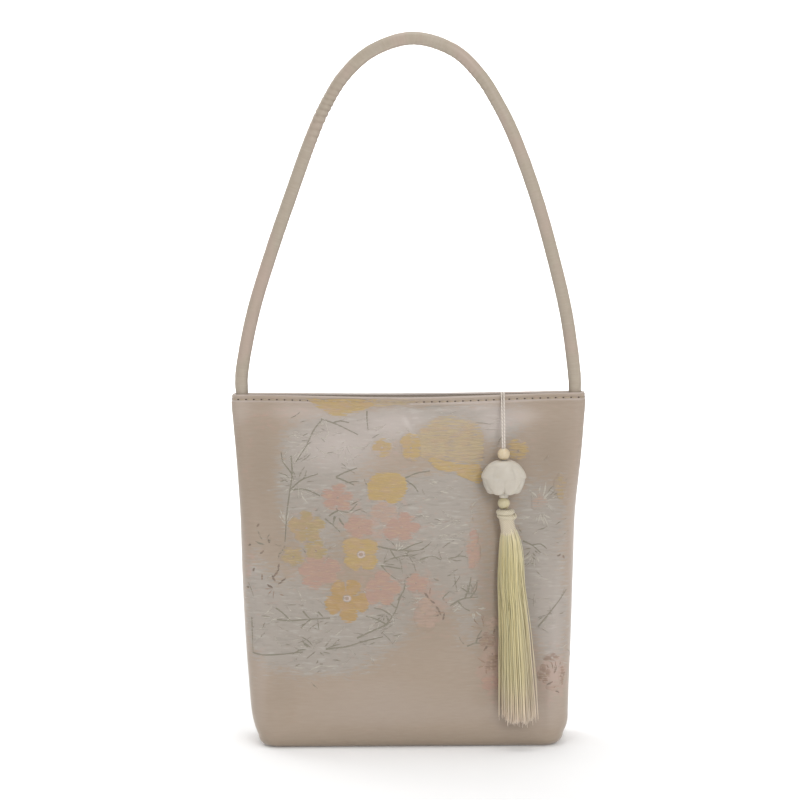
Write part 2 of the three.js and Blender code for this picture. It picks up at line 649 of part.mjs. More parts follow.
// Materials
const cloth = (color) => new THREE.MeshStandardMaterial({ color, roughness: 0.6, metalness: 0 });
const brocade = cloth(0xb0a396);
const handleCloth = cloth(0xb8ad9f);
const cordSilk = cloth(0xcbc1b6);
const tasselSilk = cloth(0xb9aa84);
const bindingSilk = cloth(0xd6cab5);
const creamBead = new THREE.MeshStandardMaterial({ color: 0xd8c8a8, roughness: 0.3, metalness: 0 });
const lotusStone = new THREE.MeshStandardMaterial({ color: 0xd6cfc4, roughness: 0.45, metalness: 0 });
const jadeBead = new THREE.MeshStandardMaterial({ color: 0xc2b998, roughness: 0.3, metalness: 0 });

const purse = new THREE.Group();

function place(name, geometry, material, x = 0, y = 0, z = 0) {
  const mesh = new THREE.Mesh(geometry, material);
  mesh.name = name;
  mesh.position.set(x, y, z);
  purse.add(mesh);
  return mesh;
}

place("front_panel", panelGeometry(FRONT), brocade);
place("back_panel", panelGeometry(BACK), brocade).rotation.z = Math.PI;
place("base_panel", baseGeometry(), brocade);
place("handle", handleGeometry(), handleCloth);
place("pendant_cord", cordGeometry(), cordSilk);
place("cord_tack", tackGeometry(), cordSilk);

const onAxis = (z) => [PENDANT_ACROSS, -pendantDepth, z];
const beadMiddle = (top, width) => top - drilledHeight(width) / 2;
place("top_bead", beadGeometry(TOP_BEAD), creamBead, ...onAxis(beadMiddle(topBeadTop, TOP_BEAD)));
place("lotus_bead", lotusGeometry(), lotusStone, ...onAxis(lotusTop));
place("low_bead", beadGeometry(LOW_BEAD), jadeBead, ...onAxis(beadMiddle(lowBeadTop, LOW_BEAD)));
place("tassel_cap", capGeometry(), bindingSilk, ...onAxis(capTop));
place("tassel_binding", bindingGeometry(), bindingSilk, ...onAxis(bindingTop));
place("tassel_fringe", fringeGeometry(), tasselSilk);

export default purse;
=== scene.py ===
import math
import random
import bpy
import numpy as np
from mathutils import Matrix, Vector


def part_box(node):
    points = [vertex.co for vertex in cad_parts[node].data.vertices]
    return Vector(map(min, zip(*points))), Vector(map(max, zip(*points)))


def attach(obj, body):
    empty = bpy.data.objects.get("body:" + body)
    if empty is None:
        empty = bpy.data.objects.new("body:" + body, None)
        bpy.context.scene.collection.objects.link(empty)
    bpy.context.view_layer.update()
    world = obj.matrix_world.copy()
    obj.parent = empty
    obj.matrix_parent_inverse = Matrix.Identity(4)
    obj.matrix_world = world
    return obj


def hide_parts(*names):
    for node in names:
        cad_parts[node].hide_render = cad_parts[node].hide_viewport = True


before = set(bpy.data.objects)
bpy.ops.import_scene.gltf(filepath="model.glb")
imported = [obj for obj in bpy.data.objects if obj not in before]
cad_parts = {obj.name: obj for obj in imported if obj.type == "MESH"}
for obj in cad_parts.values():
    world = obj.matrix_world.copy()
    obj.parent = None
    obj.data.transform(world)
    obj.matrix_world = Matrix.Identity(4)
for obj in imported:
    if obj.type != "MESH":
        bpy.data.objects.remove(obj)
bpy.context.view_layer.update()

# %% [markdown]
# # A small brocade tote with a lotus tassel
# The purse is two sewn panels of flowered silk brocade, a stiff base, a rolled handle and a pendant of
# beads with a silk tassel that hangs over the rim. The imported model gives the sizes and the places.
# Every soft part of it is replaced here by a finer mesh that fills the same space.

# %% [markdown]
# ## Camera
# A product photograph is taken from a few metres with a long lens, so that the sides stay nearly parallel.
# This camera stands 1.5 m in front, a little above the rim, and looks slightly down. It is turned by a
# fifth of a degree and rolled by two fifths, as a camera on a hand-set tripod is.

# %% Camera
CAMERA_PLACE = Vector((0.0, -1.5, 0.372))
CAMERA_PITCH, CAMERA_YAW, CAMERA_ROLL = (math.radians(v) for v in (6.332, -0.192, -0.398))
LENS, SENSOR = 113.85, 36  # mm

ahead = Vector((math.sin(CAMERA_YAW) * math.cos(CAMERA_PITCH), math.cos(CAMERA_YAW) * math.cos(CAMERA_PITCH),
                -math.sin(CAMERA_PITCH)))
level_right = Vector((math.cos(CAMERA_YAW), -math.sin(CAMERA_YAW), 0))
level_up = level_right.cross(ahead)
right = level_right * math.cos(CAMERA_ROLL) + level_up * math.sin(CAMERA_ROLL)
above = level_up * math.cos(CAMERA_ROLL) - level_right * math.sin(CAMERA_ROLL)
bpy.ops.object.camera_add(location=CAMERA_PLACE)
camera = bpy.context.object
camera.name = "camera"
turn = Matrix((right, above, -ahead)).transposed().to_4x4()
camera.matrix_world = Matrix.Translation(CAMERA_PLACE) @ turn
camera.data.lens = LENS
camera.data.sensor_width = SENSOR
bpy.context.scene.camera = camera
print("camera looks down by", round(math.degrees(CAMERA_PITCH), 2), "degrees")

# %% [markdown]
# ## Small helpers
# Colours are written as the hex values that one reads off a screen, and one function turns them into the
# linear values that shaders add up. One function adds a node with its settings and its links, and short
# ones stand for the nodes used most, so that a material below reads as a list of what it is made of.

# %% Helpers for colours and nodes
def linear(code):
    parts = [int(code[i:i + 2], 16) / 255 for i in (1, 3, 5)]
    return (*(v / 12.92 if v <= 0.04045 else ((v + 0.055) / 1.055) ** 2.4 for v in parts), 1.0)


def add_node(material, kind, inputs=None, **settings):
    """Adds a node. inputs: socket name or number, to a value or to another node's output."""
    tree = material.node_tree
    node = tree.nodes.new(kind)
    for key, value in settings.items():
        setattr(node, key, value)
    for key, value in (inputs or {}).items():
        if isinstance(value, bpy.types.NodeSocket):
            tree.links.new(value, node.inputs[key])
        else:
            node.inputs[key].default_value = value
    return node


def new_material(name, **values):
    """A material with its principled shader. values: the shader's sockets, with _ for each space."""
    material = bpy.data.materials.new(name)
    material.use_nodes = True
    for key, value in values.items():
        material.node_tree.nodes["Principled BSDF"].inputs[key.replace("_", " ")].default_value = value
    return material


def into_shader(material, value, socket="Base Color"):
    material.node_tree.links.new(value, material.node_tree.nodes["Principled BSDF"].inputs[socket])


def mixed(material, share, first, second):
    node = add_node(material, "ShaderNodeMix", {0: share, 6: first, 7: second}, data_type="RGBA")
    return node.outputs[2]


def math_node(material, operation, first, second=0.0, third=0.0):
    node = add_node(material, "ShaderNodeMath", {0: first, 1: second, 2: third}, operation=operation)
    return node.outputs[0]


def ramp(material, value, low, high, top):
    """0 below low, top above high, and even between them."""
    return add_node(material, "ShaderNodeMapRange", {0: value, 1: low, 2: high, 3: 0.0, 4: top}).outputs[0]


def stored(material, name, output="Fac"):
    """A number or a colour that is kept on the points of the mesh."""
    return add_node(material, "ShaderNodeAttribute", attribute_name=name).outputs[output]


def place_of(material, space="Object"):
    return add_node(material, "ShaderNodeTexCoord").outputs[space]


def mapped(material, place, scale, **inputs):
    return add_node(material, "ShaderNodeMapping", {"Vector": place, "Scale": scale, **inputs}).outputs[0]


def noise(material, place, scale=1.0, **inputs):
    return add_node(material, "ShaderNodeTexNoise", {"Vector": place, "Scale": scale, **inputs}).outputs[0]


def waves(material, place, scale, **inputs):
    return add_node(material, "ShaderNodeTexWave", {"Vector": place, "Scale": scale, **inputs}).outputs[1]


def bump_from(material, height, strength, depth_mm):
    bump = add_node(material, "ShaderNodeBump", {"Height": height, "Strength": strength, "Distance": depth_mm / 1000})
    into_shader(material, bump.outputs[0], "Normal")


print("ground colour in linear light:", [round(v, 3) for v in linear("#b0a396")])

# %% [markdown]
# ## Studio
# The purse stands on a white sweep: a floor that turns up into a backdrop without an edge. Its bounce
# fills the shadows and puts the pale sheen on the satin's edges. The air is lit all round, so that every
# side is clear; one soft light hangs in front at the right and gives the form its shading.

# %% Floor and backdrop
# m: the sweep's length along the paper, its floor, its turn with a radius of 1, its half width, its front edge
SWEEP_RUN, FLOOR_RUN, BEND_RUN, SWEEP_HALF_WIDTH, SWEEP_FRONT = 12.0, 8.3, 1.57, 7.0, -7.0
bpy.ops.object.select_all(action="DESELECT")
bpy.ops.mesh.primitive_grid_add(x_subdivisions=2, y_subdivisions=120, size=2)
sweep = bpy.context.object
sweep.name = "studio_sweep"
for vertex in sweep.data.vertices:
    run = (vertex.co.y + 1) * SWEEP_RUN / 2
    bend = min(max((run - FLOOR_RUN) / BEND_RUN, 0), 1) * math.pi / 2
    vertex.co = Vector((
        vertex.co.x * SWEEP_HALF_WIDTH,
        SWEEP_FRONT + min(run, FLOOR_RUN) + math.sin(bend),
        1 - math.cos(bend) + max(run - FLOOR_RUN - BEND_RUN, 0),
    ))
bpy.ops.object.shade_smooth()
# the paper glows a little, as an overexposed sweep seems to, so that the shadow on it stays pale
paper = new_material("white seamless paper", Roughness=0.9, Specular_IOR_Level=0.2,
                     Emission_Color=linear("#ffffff"), Emission_Strength=0.06)
paper_grain = add_node(paper, "ShaderNodeTexNoise", {"Scale": 60.0, "Detail": 3.0}).outputs[0]
into_shader(paper, mixed(paper, paper_grain, linear("#f4f4f4"), linear("#f8f8f8")))
sweep.data.materials.append(paper)
print("sweep:", len(sweep.data.polygons), "faces")

# %% Lights
PURSE, BACKDROP = Vector((0, 0, 0.16)), Vector((0, 2.3, 0.5))
AIR_LIGHT = 0.72
SOFT_LIGHTS = [
    # name, place in m, aim, size in m, watts, spread in degrees (less spills less on the purse's back)
    ("key", (0.75, -1.9, 1.15), PURSE, 0.8, 11, 180),
    ("overhead", (0.0, 0.05, 1.9), PURSE, 1.0, 8, 180),
    ("rear", (-1.0, 1.0, 1.1), PURSE, 0.8, 5, 180),
    ("backdrop", (0.0, 1.1, 1.7), BACKDROP, 1.6, 22, 110),
]
for name, place, aim, size, watts, spread in SOFT_LIGHTS:
    bpy.ops.object.light_add(type="AREA", location=place)
    light = bpy.context.object
    light.name = f"{name}_light"
    light.data.shape = "DISK"
    light.data.size = size
    light.data.energy = watts
    light.data.spread = math.radians(spread)
    light.rotation_euler = (aim - light.location).to_track_quat("-Z", "Y").to_euler()
world = bpy.data.worlds.new("studio air")
world.use_nodes = True
world.node_tree.nodes["Background"].inputs["Color"].default_value = (1, 1, 1, 1)
world.node_tree.nodes["Background"].inputs["Strength"].default_value = AIR_LIGHT
bpy.context.scene.world = world
# Standard shows a material close to the hex it was written with, which suits a product picture on white
bpy.context.scene.view_settings.view_transform = "Standard"
print(len(SOFT_LIGHTS), "soft lights")

# %% [markdown]
# ## The body's form
# The two panels hang as cloth does over a shape: 55 mm deep just above the base, 26 mm at the mouth, with
# side walls that narrow upwards. A cloth simulation could drape them, but it would not hold the sizes, so
# the form is a few plan sections with a smooth curve through them, and folds are moved in by code. These
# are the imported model's own sizes, in millimetres, so that each piece stays where the model is.

# %% Sizes and sections of the body
BAG_HEIGHT, MOUTH_WIDTH, MOUTH_DEPTH = 210.0, 211.0, 26.0
BASE_WIDTH, BODY_DEPTH, BASE_ROUND, CORNER_ROUND = 170.0, 55.0, 6.3, 13.0
RIM_SAG, CLOTH, SEAM_GAP, SEAT, HEM = 1.5, 1.5, 0.3, 0.3, 2.9
HANDLE_THICK = 7.9
SIDE_SEAT = HANDLE_THICK / 2 + SEAT + CLOTH
BASE_HALF = BASE_WIDTH / 2 + BASE_ROUND
WALL = BAG_HEIGHT - BASE_ROUND
FACE_END, CORNER_END = 0.78, 0.94  # shares of the way from the middle to the seam

# height of the wall, width at the left and the right, swell of the face, squareness of the side, corner
HEIGHT, LEFT, RIGHT, SWELL, SQUARE, ROUND = range(6)
SECTIONS = np.array([
    (0.00, 0.00, 0.00, 0.90, 0.9333, 1.00), (0.03, 0.16, 0.18, 0.98, 0.92, 1.00),
    (0.07, 0.28, 0.22, 1.02, 0.87, 1.00), (0.14, 0.37, 0.26, 1.01, 0.78, 1.00),
    (0.30, 0.53, 0.37, 0.88, 0.58, 0.98), (0.48, 0.64, 0.47, 0.69, 0.37, 0.90),
    (0.65, 0.70, 0.57, 0.47, 0.20, 0.70), (0.82, 0.84, 0.83, 0.22, 0.07, 0.45),
    (0.93, 0.96, 0.96, 0.07, 0.01, 0.38), (0.97, 1.00, 1.00, 0.03, 0.00, 0.36),
    (1.00, 0.97, 0.97, 0.00, 0.00, 0.36),
])


def along(keys, values, at):
    """Values on a smooth curve through the rows of a table."""
    keys, values, at = np.asarray(keys, float), np.asarray(values, float), np.asarray(at, float)
    last = len(keys) - 1
    i = np.clip(np.searchsorted(keys, at) - 1, 0, last - 1)
    before, after = np.maximum(i - 1, 0), np.minimum(i + 2, last)
    span = keys[i + 1] - keys[i]
    rise = (values[i + 1] - values[before]) / (keys[i + 1] - keys[before]) * span
    fall = (values[after] - values[i]) / (keys[after] - keys[i]) * span
    t = np.clip((at - keys[i]) / span, 0, 1)
    start = (2 * t - 3) * t * t + 1
    return start * values[i] + (1 - start) * values[i + 1] + ((t - 2) * t + 1) * t * rise + (t - 1) * t * t * fall


rim_share = float(along(SECTIONS[:, HEIGHT], SECTIONS[:, LEFT], 1))
print("half width at the rim:", round(BASE_HALF + (MOUTH_WIDTH / 2 - BASE_HALF) * rim_share, 2), "mm")

# %% [markdown]
# ## Folds
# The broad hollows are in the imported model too. The finer ones are only seen in the light: a long soft
# dent beside each side edge, diagonals that run into the lower corners, two short creases under the hem
# and a slow unevenness over the whole wall. Each is one row: where it is, how wide, how tall, how deep,
# and which way it leans.

# %% Folds of the two panels
# across: of half the mouth. up: of the height. wide, tall: of the mouth and the height. deep: of the depth.
FRONT_FOLDS = [
    (-0.7, 0.12, 0.035, 0.13, 0.034, 12), (0.76, 0.13, 0.03, 0.12, 0.03, -14), (-0.3, 0.9, 0.06, 0.09, 0.022, 6),
    (0.22, 0.88, 0.07, 0.07, 0.024, -30), (-0.62, 0.7, 0.07, 0.2, 0.026, -5), (0.66, 0.68, 0.06, 0.18, 0.022, 6),
    (0.05, 0.22, 0.2, 0.12, -0.022, 0),
]
BACK_FOLDS = [
    (-0.72, 0.13, 0.035, 0.12, 0.032, 12), (0.74, 0.12, 0.035, 0.13, 0.03, -12), (0.1, 0.88, 0.09, 0.09, 0.024, 18),
    (-0.5, 0.66, 0.08, 0.2, 0.024, -6), (0.02, 0.24, 0.2, 0.13, -0.02, 0),
]
FRONT_CREASES = [
    (-0.83, 0.5, 0.035, 0.3, 0.008, -1), (0.84, 0.52, 0.035, 0.3, 0.008, 2), (-0.8, 0.11, 0.02, 0.1, 0.012, 24),
    (0.82, 0.11, 0.02, 0.1, 0.012, -24), (-0.385, 0.905, 0.006, 0.04, 0.008, 3),
    (0, 0.935, 0.008, 0.04, 0.009, -28), (0.3, 0.955, 0.05, 0.018, 0.007, 0), (-0.62, 0.955, 0.05, 0.016, 0.006, 0),
    (0.55, 0.3, 0.05, 0.16, 0.006, -8), (-0.3, 0.06, 0.12, 0.02, -0.006, 0), (0.35, 0.075, 0.14, 0.02, 0.006, 0),
    (-0.52, 0.36, 0.04, 0.2, 0.006, 10), (-0.08, 0.945, 0.09, 0.022, 0.016, -10),
    (0.27, 0.95, 0.11, 0.02, 0.014, 6), (0.57, 0.93, 0.06, 0.03, 0.014, -24), (-0.5, 0.93, 0.1, 0.03, 0.01, 8),
    (-0.72, 0.75, 0.03, 0.2, -0.008, -4), (0.7, 0.75, 0.03, 0.2, -0.008, 4),
]
BACK_CREASES = [
    (-0.8, 0.48, 0.035, 0.28, 0.008, 2), (0.82, 0.5, 0.035, 0.3, 0.008, -2), (-0.78, 0.12, 0.02, 0.1, 0.012, 22),
    (0.8, 0.11, 0.02, 0.11, 0.012, -22), (0.2, 0.93, 0.01, 0.04, 0.009, 20), (-0.35, 0.95, 0.05, 0.018, 0.007, 0),
    (0.4, 0.32, 0.06, 0.16, 0.006, 12), (0.1, 0.07, 0.15, 0.02, 0.006, 0),
]
FRONT = {"folds": FRONT_FOLDS + FRONT_CREASES, "flanks": (LEFT, RIGHT), "turned": 1, "phase": 0.0}
BACK = {"folds": BACK_FOLDS + BACK_CREASES, "flanks": (RIGHT, LEFT), "turned": -1, "phase": 2.4}


def bell(at, wide):
    return np.exp(-(at / wide) ** 2)


def smooth_rise(at, low, high):
    t = np.clip((at - low) / (high - low), 0, 1)
    return t * t * (3 - 2 * t)


def fold_depth(half, x, level):
    """How far the folds press the face in, in mm."""
    depth = np.zeros_like(x)
    for across, up, wide, tall, deep, lean in half["folds"]:
        lean = math.radians(lean)
        dx, dz = x - across * MOUTH_WIDTH / 2, level - up * BAG_HEIGHT
        over = (dx * math.cos(lean) - dz * math.sin(lean)) / (wide * MOUTH_WIDTH)
        rise = (dx * math.sin(lean) + dz * math.cos(lean)) / (tall * BAG_HEIGHT)
        depth += deep * BODY_DEPTH * np.exp(-over * over - rise * rise)
    phase = half["phase"]
    depth += 0.16 * np.sin(x / 17 + 1.3 * np.sin(level / 31 + phase) + phase) * np.sin(level / 23 + phase)
    return depth * smooth_rise(level, BASE_ROUND, 4 * BASE_ROUND)


def sag(x):
    return 1 - RIM_SAG / BAG_HEIGHT * np.cos(math.pi / 2 * np.clip(2 * x / MOUTH_WIDTH, -1, 1)) ** 2


def plan_at(half, u, height):
    """Half width, face, side and corner radius of the plan at a height, per point."""
    def value(column):
        return along(SECTIONS[:, HEIGHT], SECTIONS[:, column], height)

    flank = np.where(u < 0, value(half["flanks"][0]), value(half["flanks"][1]))
    width = BASE_HALF + (MOUTH_WIDTH / 2 - BASE_HALF) * flank
    face = MOUTH_DEPTH / 2 + (BODY_DEPTH - MOUTH_DEPTH) / 2 * value(SWELL)
    side = SIDE_SEAT + (BODY_DEPTH / 2 - SIDE_SEAT) * value(SQUARE)
    return width, face, side, np.minimum(CORNER_ROUND * value(ROUND), side - 0.5)


STITCH_PITCH = 4.6  # from one topstitch to the next


def surface(half, u, v):
    """Outer surface of a panel in mm. u: left seam -1 to right seam 1. v: base edge -1, wall 0 to rim 1."""
    u, v = np.asarray(u, float), np.asarray(v, float)
    turn = np.minimum(v, 0) * math.pi / 2
    inset = BASE_ROUND * (1 - np.cos(turn))
    level = np.where(v < 0, BASE_ROUND * (1 + np.sin(turn)), BASE_ROUND + WALL * v)
    width, face, side, corner = plan_at(half, u, np.maximum(v, 0))
    place = np.abs(u)
    share = np.clip(place / FACE_END, 0, 1)
    flat_x = (width - corner) * share
    flat_y = side + (face - side) * np.cos(math.pi / 2 * share) ** 2
    flat_y = flat_y - fold_depth(half, np.sign(u) * flat_x, level) * (1 - share ** 6)
    angle = np.clip((place - FACE_END) / (CORNER_END - FACE_END), 0, 1) * math.pi / 2
    side_y = (side - corner) * np.clip((1 - place) / (1 - CORNER_END), 0, 1)
    x = np.where(place <= FACE_END, flat_x, width + corner * (np.sin(angle) - 1))
    y = np.where(place <= CORNER_END, side + corner * (np.cos(angle) - 1), side_y)
    y = np.where(place <= FACE_END, flat_y, y)
    # the hem is drawn in along its stitches, swells on both sides of them and is rounded at its fold
    below = BAG_HEIGHT - level
    pull = 0.5 * bell(below - HEM, 1.2) * (0.72 + 0.28 * np.cos(2 * math.pi * flat_x / STITCH_PITCH))
    pull -= 0.4 * bell(below - HEM - 1.9, 0.9) + 0.12 * bell(below - 1.4, 0.7)
    pull += 0.5 * np.clip(1 - below, 0, 1) ** 2
    dx, dy = np.sin(angle), np.cos(angle)
    points = np.stack([
        np.sign(u) * (x - (inset + pull * 0.5) * dx),
        -(y - (inset + pull) * dy) - SEAM_GAP / 2,
        level,
    ], axis=1)
    points[:, 2] *= sag(points[:, 0])
    return points * (half["turned"], half["turned"], 1)


print("front at mid height is", round(-surface(FRONT, [0.0], [0.5])[0, 1], 1), "mm in front of the seams")

# %% [markdown]
# ## From flat cloth to the wall
# A woven pattern lies in the cloth, so it is charted on the flat cloth: how far from the panel's middle,
# measured round the corner, and how high. This function lays such a chart on the curved wall, so that a
# flower keeps its size and never floats.

# %% Laying a flat chart on a panel
def wall_share(across, up, top=0.999):
    """Where a height on the cloth lies between the turn of the base, 0, and the rim, 1."""
    return np.clip((up / sag(across) - BASE_ROUND) / WALL, 0, top)


def on_wall(half, across, up, lift):
    """Points in mm for places on the flat cloth, lifted off its surface."""
    across, up = np.asarray(across, float), np.asarray(up, float)
    v = wall_share(across, up)
    width, _, side, corner = plan_at(half, across, v)
    reach, flat = np.abs(across), width - corner
    on_corner = np.clip((reach - flat) / (corner * math.pi / 2), 0, 1)
    on_side = np.clip((reach - flat - corner * math.pi / 2) / (side - corner), 0, 0.98)
    u = np.sign(across) * (
        FACE_END * np.clip(reach / flat, 0, 1) + (CORNER_END - FACE_END) * on_corner + (1 - CORNER_END) * on_side
    )
    step = 2e-3
    over = surface(half, np.clip(u + step, -1, 1), v) - surface(half, np.clip(u - step, -1, 1), v)
    rise = surface(half, u, np.clip(v + step, 0, 1)) - surface(half, u, np.clip(v - step, 0, 1))
    normal = np.cross(over, rise)
    normal /= np.linalg.norm(normal, axis=1, keepdims=True)
    return surface(half, u, v) + normal * np.asarray(lift, float)[:, None]


def reach_at(half, across, up):
    """How far the flat cloth of a panel goes from its middle to its seam, at some places."""
    width, _, side, corner = plan_at(half, across, wall_share(across, up))
    return width - corner + corner * math.pi / 2 + (side - corner) * 0.9


print("a place 110 mm round the left corner:", on_wall(FRONT, [-110.0], [100.0], [0.0]).round(1))

# %% [markdown]
# ## The slow tones of the cloth
# Behind the flowers a silvery weft comes to the face in cloudy areas, and here and there rose silk floats
# thinly over the ground. Light is painted in as well: painted sheen makes the satin paler in some places,
# and painted shade makes it darker in others, as along the base. All of it is stored on the mesh: each row
# is a soft oval, and the sums of the ovals are attributes that the cloth's material reads. Silver and haze
# repeat with the cloth; the painted light is each panel's own.

# %% Silver, haze and painted light
# across, up, half width, half height in mm, strength
SILVER = [
    (-52.7, 177.2, 20.2, 16.7, 1), (-37.7, 183.3, 23.8, 13.1, 0.9), (-64.8, 153.3, 13.1, 20.2, 1),
    (-46.9, 147.7, 21.4, 15.5, 0.8), (-5.4, 145.2, 23.8, 15.5, 0.9), (18.3, 141.9, 26.2, 20.2, 0.9),
    (18.1, 112.4, 26.2, 17.8, 0.8), (26.9, 94.5, 19, 13.1, 0.8), (-53.1, 120.9, 20.2, 15.5, 0.5),
    (-5.6, 112.7, 17.8, 15.5, 0.8), (-65.3, 88.1, 23.8, 17.8, 0.8), (-53.5, 64.7, 29.8, 15.5, 0.9),
    (-77.4, 64.4, 17.8, 17.8, 0.8), (-23.7, 74.1, 17.8, 14.3, 0.9), (-47.6, 51.8, 20.2, 8.3, 0.7),
    (-8.8, 83.2, 13.1, 14.3, 0.8), (77.9, 140.3, 15.5, 20.2, 0.9), (77.7, 110.7, 15.5, 23.8, 0.8),
    (80.5, 84, 15.5, 16.7, 0.8), (36.2, 165.1, 15.5, 11.9, 0.5), (35.6, 70.5, 11.9, 14.3, 0.5),
    # the three rows just below the rim are partly painted highlight: silver weft laid where the satin's sheen is
    # brightest
    (-9.8, 192.9, 23.8, 9.5, 0.8), (25.7, 199.6, 29.8, 5.4, 0.7), (54.2, 189.5, 15.5, 10.7, 0.8),
    (-92, 94, 9, 24, 0.7), (86, 62, 12, 16, 0.6),
]

# where rose silk floats thinly between the flowers, in the same way
HAZE = [
    (-52, 106, 16, 11, 0.8), (-28.6, 132.6, 13, 9, 0.7), (-5.5, 131, 14, 9, 0.7), (-42, 149, 12, 8, 0.6),
    (-18, 96, 12, 12, 0.7), (3.8, 100, 8, 8, 0.6), (13, 86, 12, 15, 0.85), (38.3, 117, 6.5, 15, 0.7),
    (45, 92, 6, 18, 0.5), (48, 50, 8, 20, 1), (86, 42, 12, 15, 0.85), (-13, 177, 14, 10, 0.35),
    (-80, 197, 18, 9, 0.4), (-97, 108, 6, 16, 0.5), (-61, 129, 8, 8, 0.5), (-12, 146, 12, 8, 0.4),
    (-96, 170, 4, 30, 0.3), (62, 185, 12, 14, 0.25),
]

# painted light, in the same way: painted sheen above zero, painted shade below it, as at the base and beside the
# tassel
FRONT_PAINTED_LIGHT = [
    (-41.9, 179.7, 26.3, 14.3, 0.95), (-11, 192.9, 17.9, 9, 0.9), (51.8, 193.2, 11.9, 9.6, 0.95),
    (-64.4, 199.7, 23.9, 5.4, 0.65), (31.7, 202.5, 20.3, 4.2, 0.55), (-11, 21.7, 65.7, 9, 0.22),
    (85.1, 63.4, 9, 50.7, 0.5), (-21.6, 35.5, 41.8, 8.4, 0.15), (-87.4, 165.1, 11.9, 34, -0.7),
    (-72, 124, 12, 18, -0.4), (84.4, 172.7, 13, 26.7, -0.85), (44.1, 93.9, 6.6, 47.8, -0.9),
    (13.1, 78.2, 29.8, 21.5, -0.6), (-5.7, 105.7, 37, 17.9, -0.4), (-47.2, 111, 17.9, 17.9, -0.3),
    (18.5, 176.1, 9.6, 9.6, -0.3), (0, 2, 130, 6.5, -1), (74, 196, 14, 5, 0.5), (-92, 98, 7, 26, 0.15),
    (-88, 40, 7, 22, 0.35), (62, 180, 7, 14, -0.4), (-79, 32, 9, 16, -0.45), (28, 190, 9, 6, 0.35),
    (4, 196, 10, 4, 0.3), (-100, 200, 8, 10, 0.4), (20, 203.5, 16, 2, -0.4), (38, 184, 5, 9, -0.35),
    (66, 196, 8, 7, 0.4), (52, 150, 8, 8, -0.4), (101, 120, 6, 70, 0.5), (60, 22, 20, 6, 0.3),
    (-103, 100, 4, 50, 0.3),
]
BACK_PAINTED_LIGHT = [
    (36, 182, 30, 13, 0.8), (-50, 194, 24, 7, 0.7), (5, 24, 60, 9, 0.22), (-84, 62, 9, 48, 0.45),
    (84, 140, 12, 46, -0.6), (-86, 168, 12, 32, -0.6), (-18, 110, 36, 24, -0.4), (44, 72, 24, 24, -0.35),
    (0, 2, 130, 6.5, -1),
]


def sum_of_ovals(table, repeats, across, up):
    across, up = np.asarray(across, float), np.asarray(up, float)
    total = np.zeros_like(across)
    for over, rise in repeats:
        for middle, height, wide, tall, strength in table:
            total += strength * np.exp(-((across - middle - over) / wide) ** 2 - ((up - height - rise) / tall) ** 2)
    return total


def silver_at(half, across, up):
    return np.clip(sum_of_ovals(SILVER, half["repeats"], across, up), 0, 1)


def haze_at(half, across, up):
    return np.clip(sum_of_ovals(HAZE, half["repeats"], across, up), 0, 1)


def painted_light_at(half, across, up):
    return np.clip(sum_of_ovals(half["painted_light"], [(0.0, 0.0)], across, up), -1, 1)


# where the repeats of the cloth lie on each panel; the painted light is each panel's own
FRONT["repeats"], FRONT["painted_light"] = [(0.0, 0.0)], FRONT_PAINTED_LIGHT
BACK["repeats"], BACK["painted_light"] = [(58.0, -64.0), (58.0, 148.0), (-112.0, -64.0), (-112.0, 148.0)], BACK_PAINTED_LIGHT
print(len(SILVER), "silver areas and", len(HAZE), "hazes of rose")

# %% [markdown]
# ## The two panels
# A panel starts as a flat grid, which is then wrapped over the form: its columns run from seam to seam and
# its rows from the base's edge to the rim, closer together where the base turns and under the hem. Solidify
# gives the 1.5 mm of brocade, interlining and facing, with the lining's material inside, and a narrow bevel
# rounds the folded edges.

# %% Helpers for meshes
def nothing_selected():
    if bpy.context.object and bpy.context.object.mode != "OBJECT":
        bpy.ops.object.mode_set(mode="OBJECT")
    bpy.ops.object.select_all(action="DESELECT")


def pick(piece):
    """Selects one piece alone and makes it the active one."""
    nothing_selected()
    bpy.context.view_layer.objects.active = piece
    piece.select_set(True)


def points_of(piece):
    points = np.empty(len(piece.data.vertices) * 3)
    piece.data.vertices.foreach_get("co", points)
    return points.reshape(-1, 3)


def piece_from(name, points, faces):
    """A new piece from places in mm and faces."""
    mesh = bpy.data.meshes.new(name)
    mesh.from_pydata((points / 1000).tolist(), [], faces)
    piece = bpy.data.objects.new(name, mesh)
    bpy.context.scene.collection.objects.link(piece)
    return piece


def grid(name, columns, rows):
    """A flat grid. Gives the object and the values of columns and rows at each of its points."""
    nothing_selected()
    bpy.ops.mesh.primitive_grid_add(x_subdivisions=len(columns) - 1, y_subdivisions=len(rows) - 1, size=2)
    piece = bpy.context.object
    piece.name = name
    flat = points_of(piece)
    across = np.interp(flat[:, 0], np.linspace(-1, 1, len(columns)), columns)
    up = np.interp(flat[:, 1], np.linspace(-1, 1, len(rows)), rows)
    return piece, across, up


def set_points(piece, points):
    """Moves a mesh's points to places in mm."""
    piece.data.vertices.foreach_set("co", (np.asarray(points) / 1000).ravel())
    piece.data.update()


def set_values(piece, name, values):
    """Stores a number or a colour on each point of a mesh."""
    values = np.asarray(values, float)
    kind, field = ("FLOAT", "value") if values.ndim == 1 else ("FLOAT_COLOR", "color")
    attribute = piece.data.attributes.new(name, kind, "POINT")
    attribute.data.foreach_set(field, values.ravel())


def apply_modifier(piece, kind, **settings):
    pick(piece)
    modifier = piece.modifiers.new(kind.lower(), kind)
    for key, value in settings.items():
        setattr(modifier, key, value)
    bpy.ops.object.modifier_apply(modifier=modifier.name)


def smooth(piece, degrees):
    pick(piece)
    bpy.ops.object.shade_smooth_by_angle(angle=math.radians(degrees))


def hand_over(piece, slot, *nodes):
    """The piece rides on the purse and stands for CAD nodes, which it hides. slot: not used."""
    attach(piece, "root")
    if nodes:
        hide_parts(*nodes)
    triangles = sum(len(face.vertices) - 2 for face in piece.data.polygons)
    print(f"{piece.name}: {triangles} triangles")


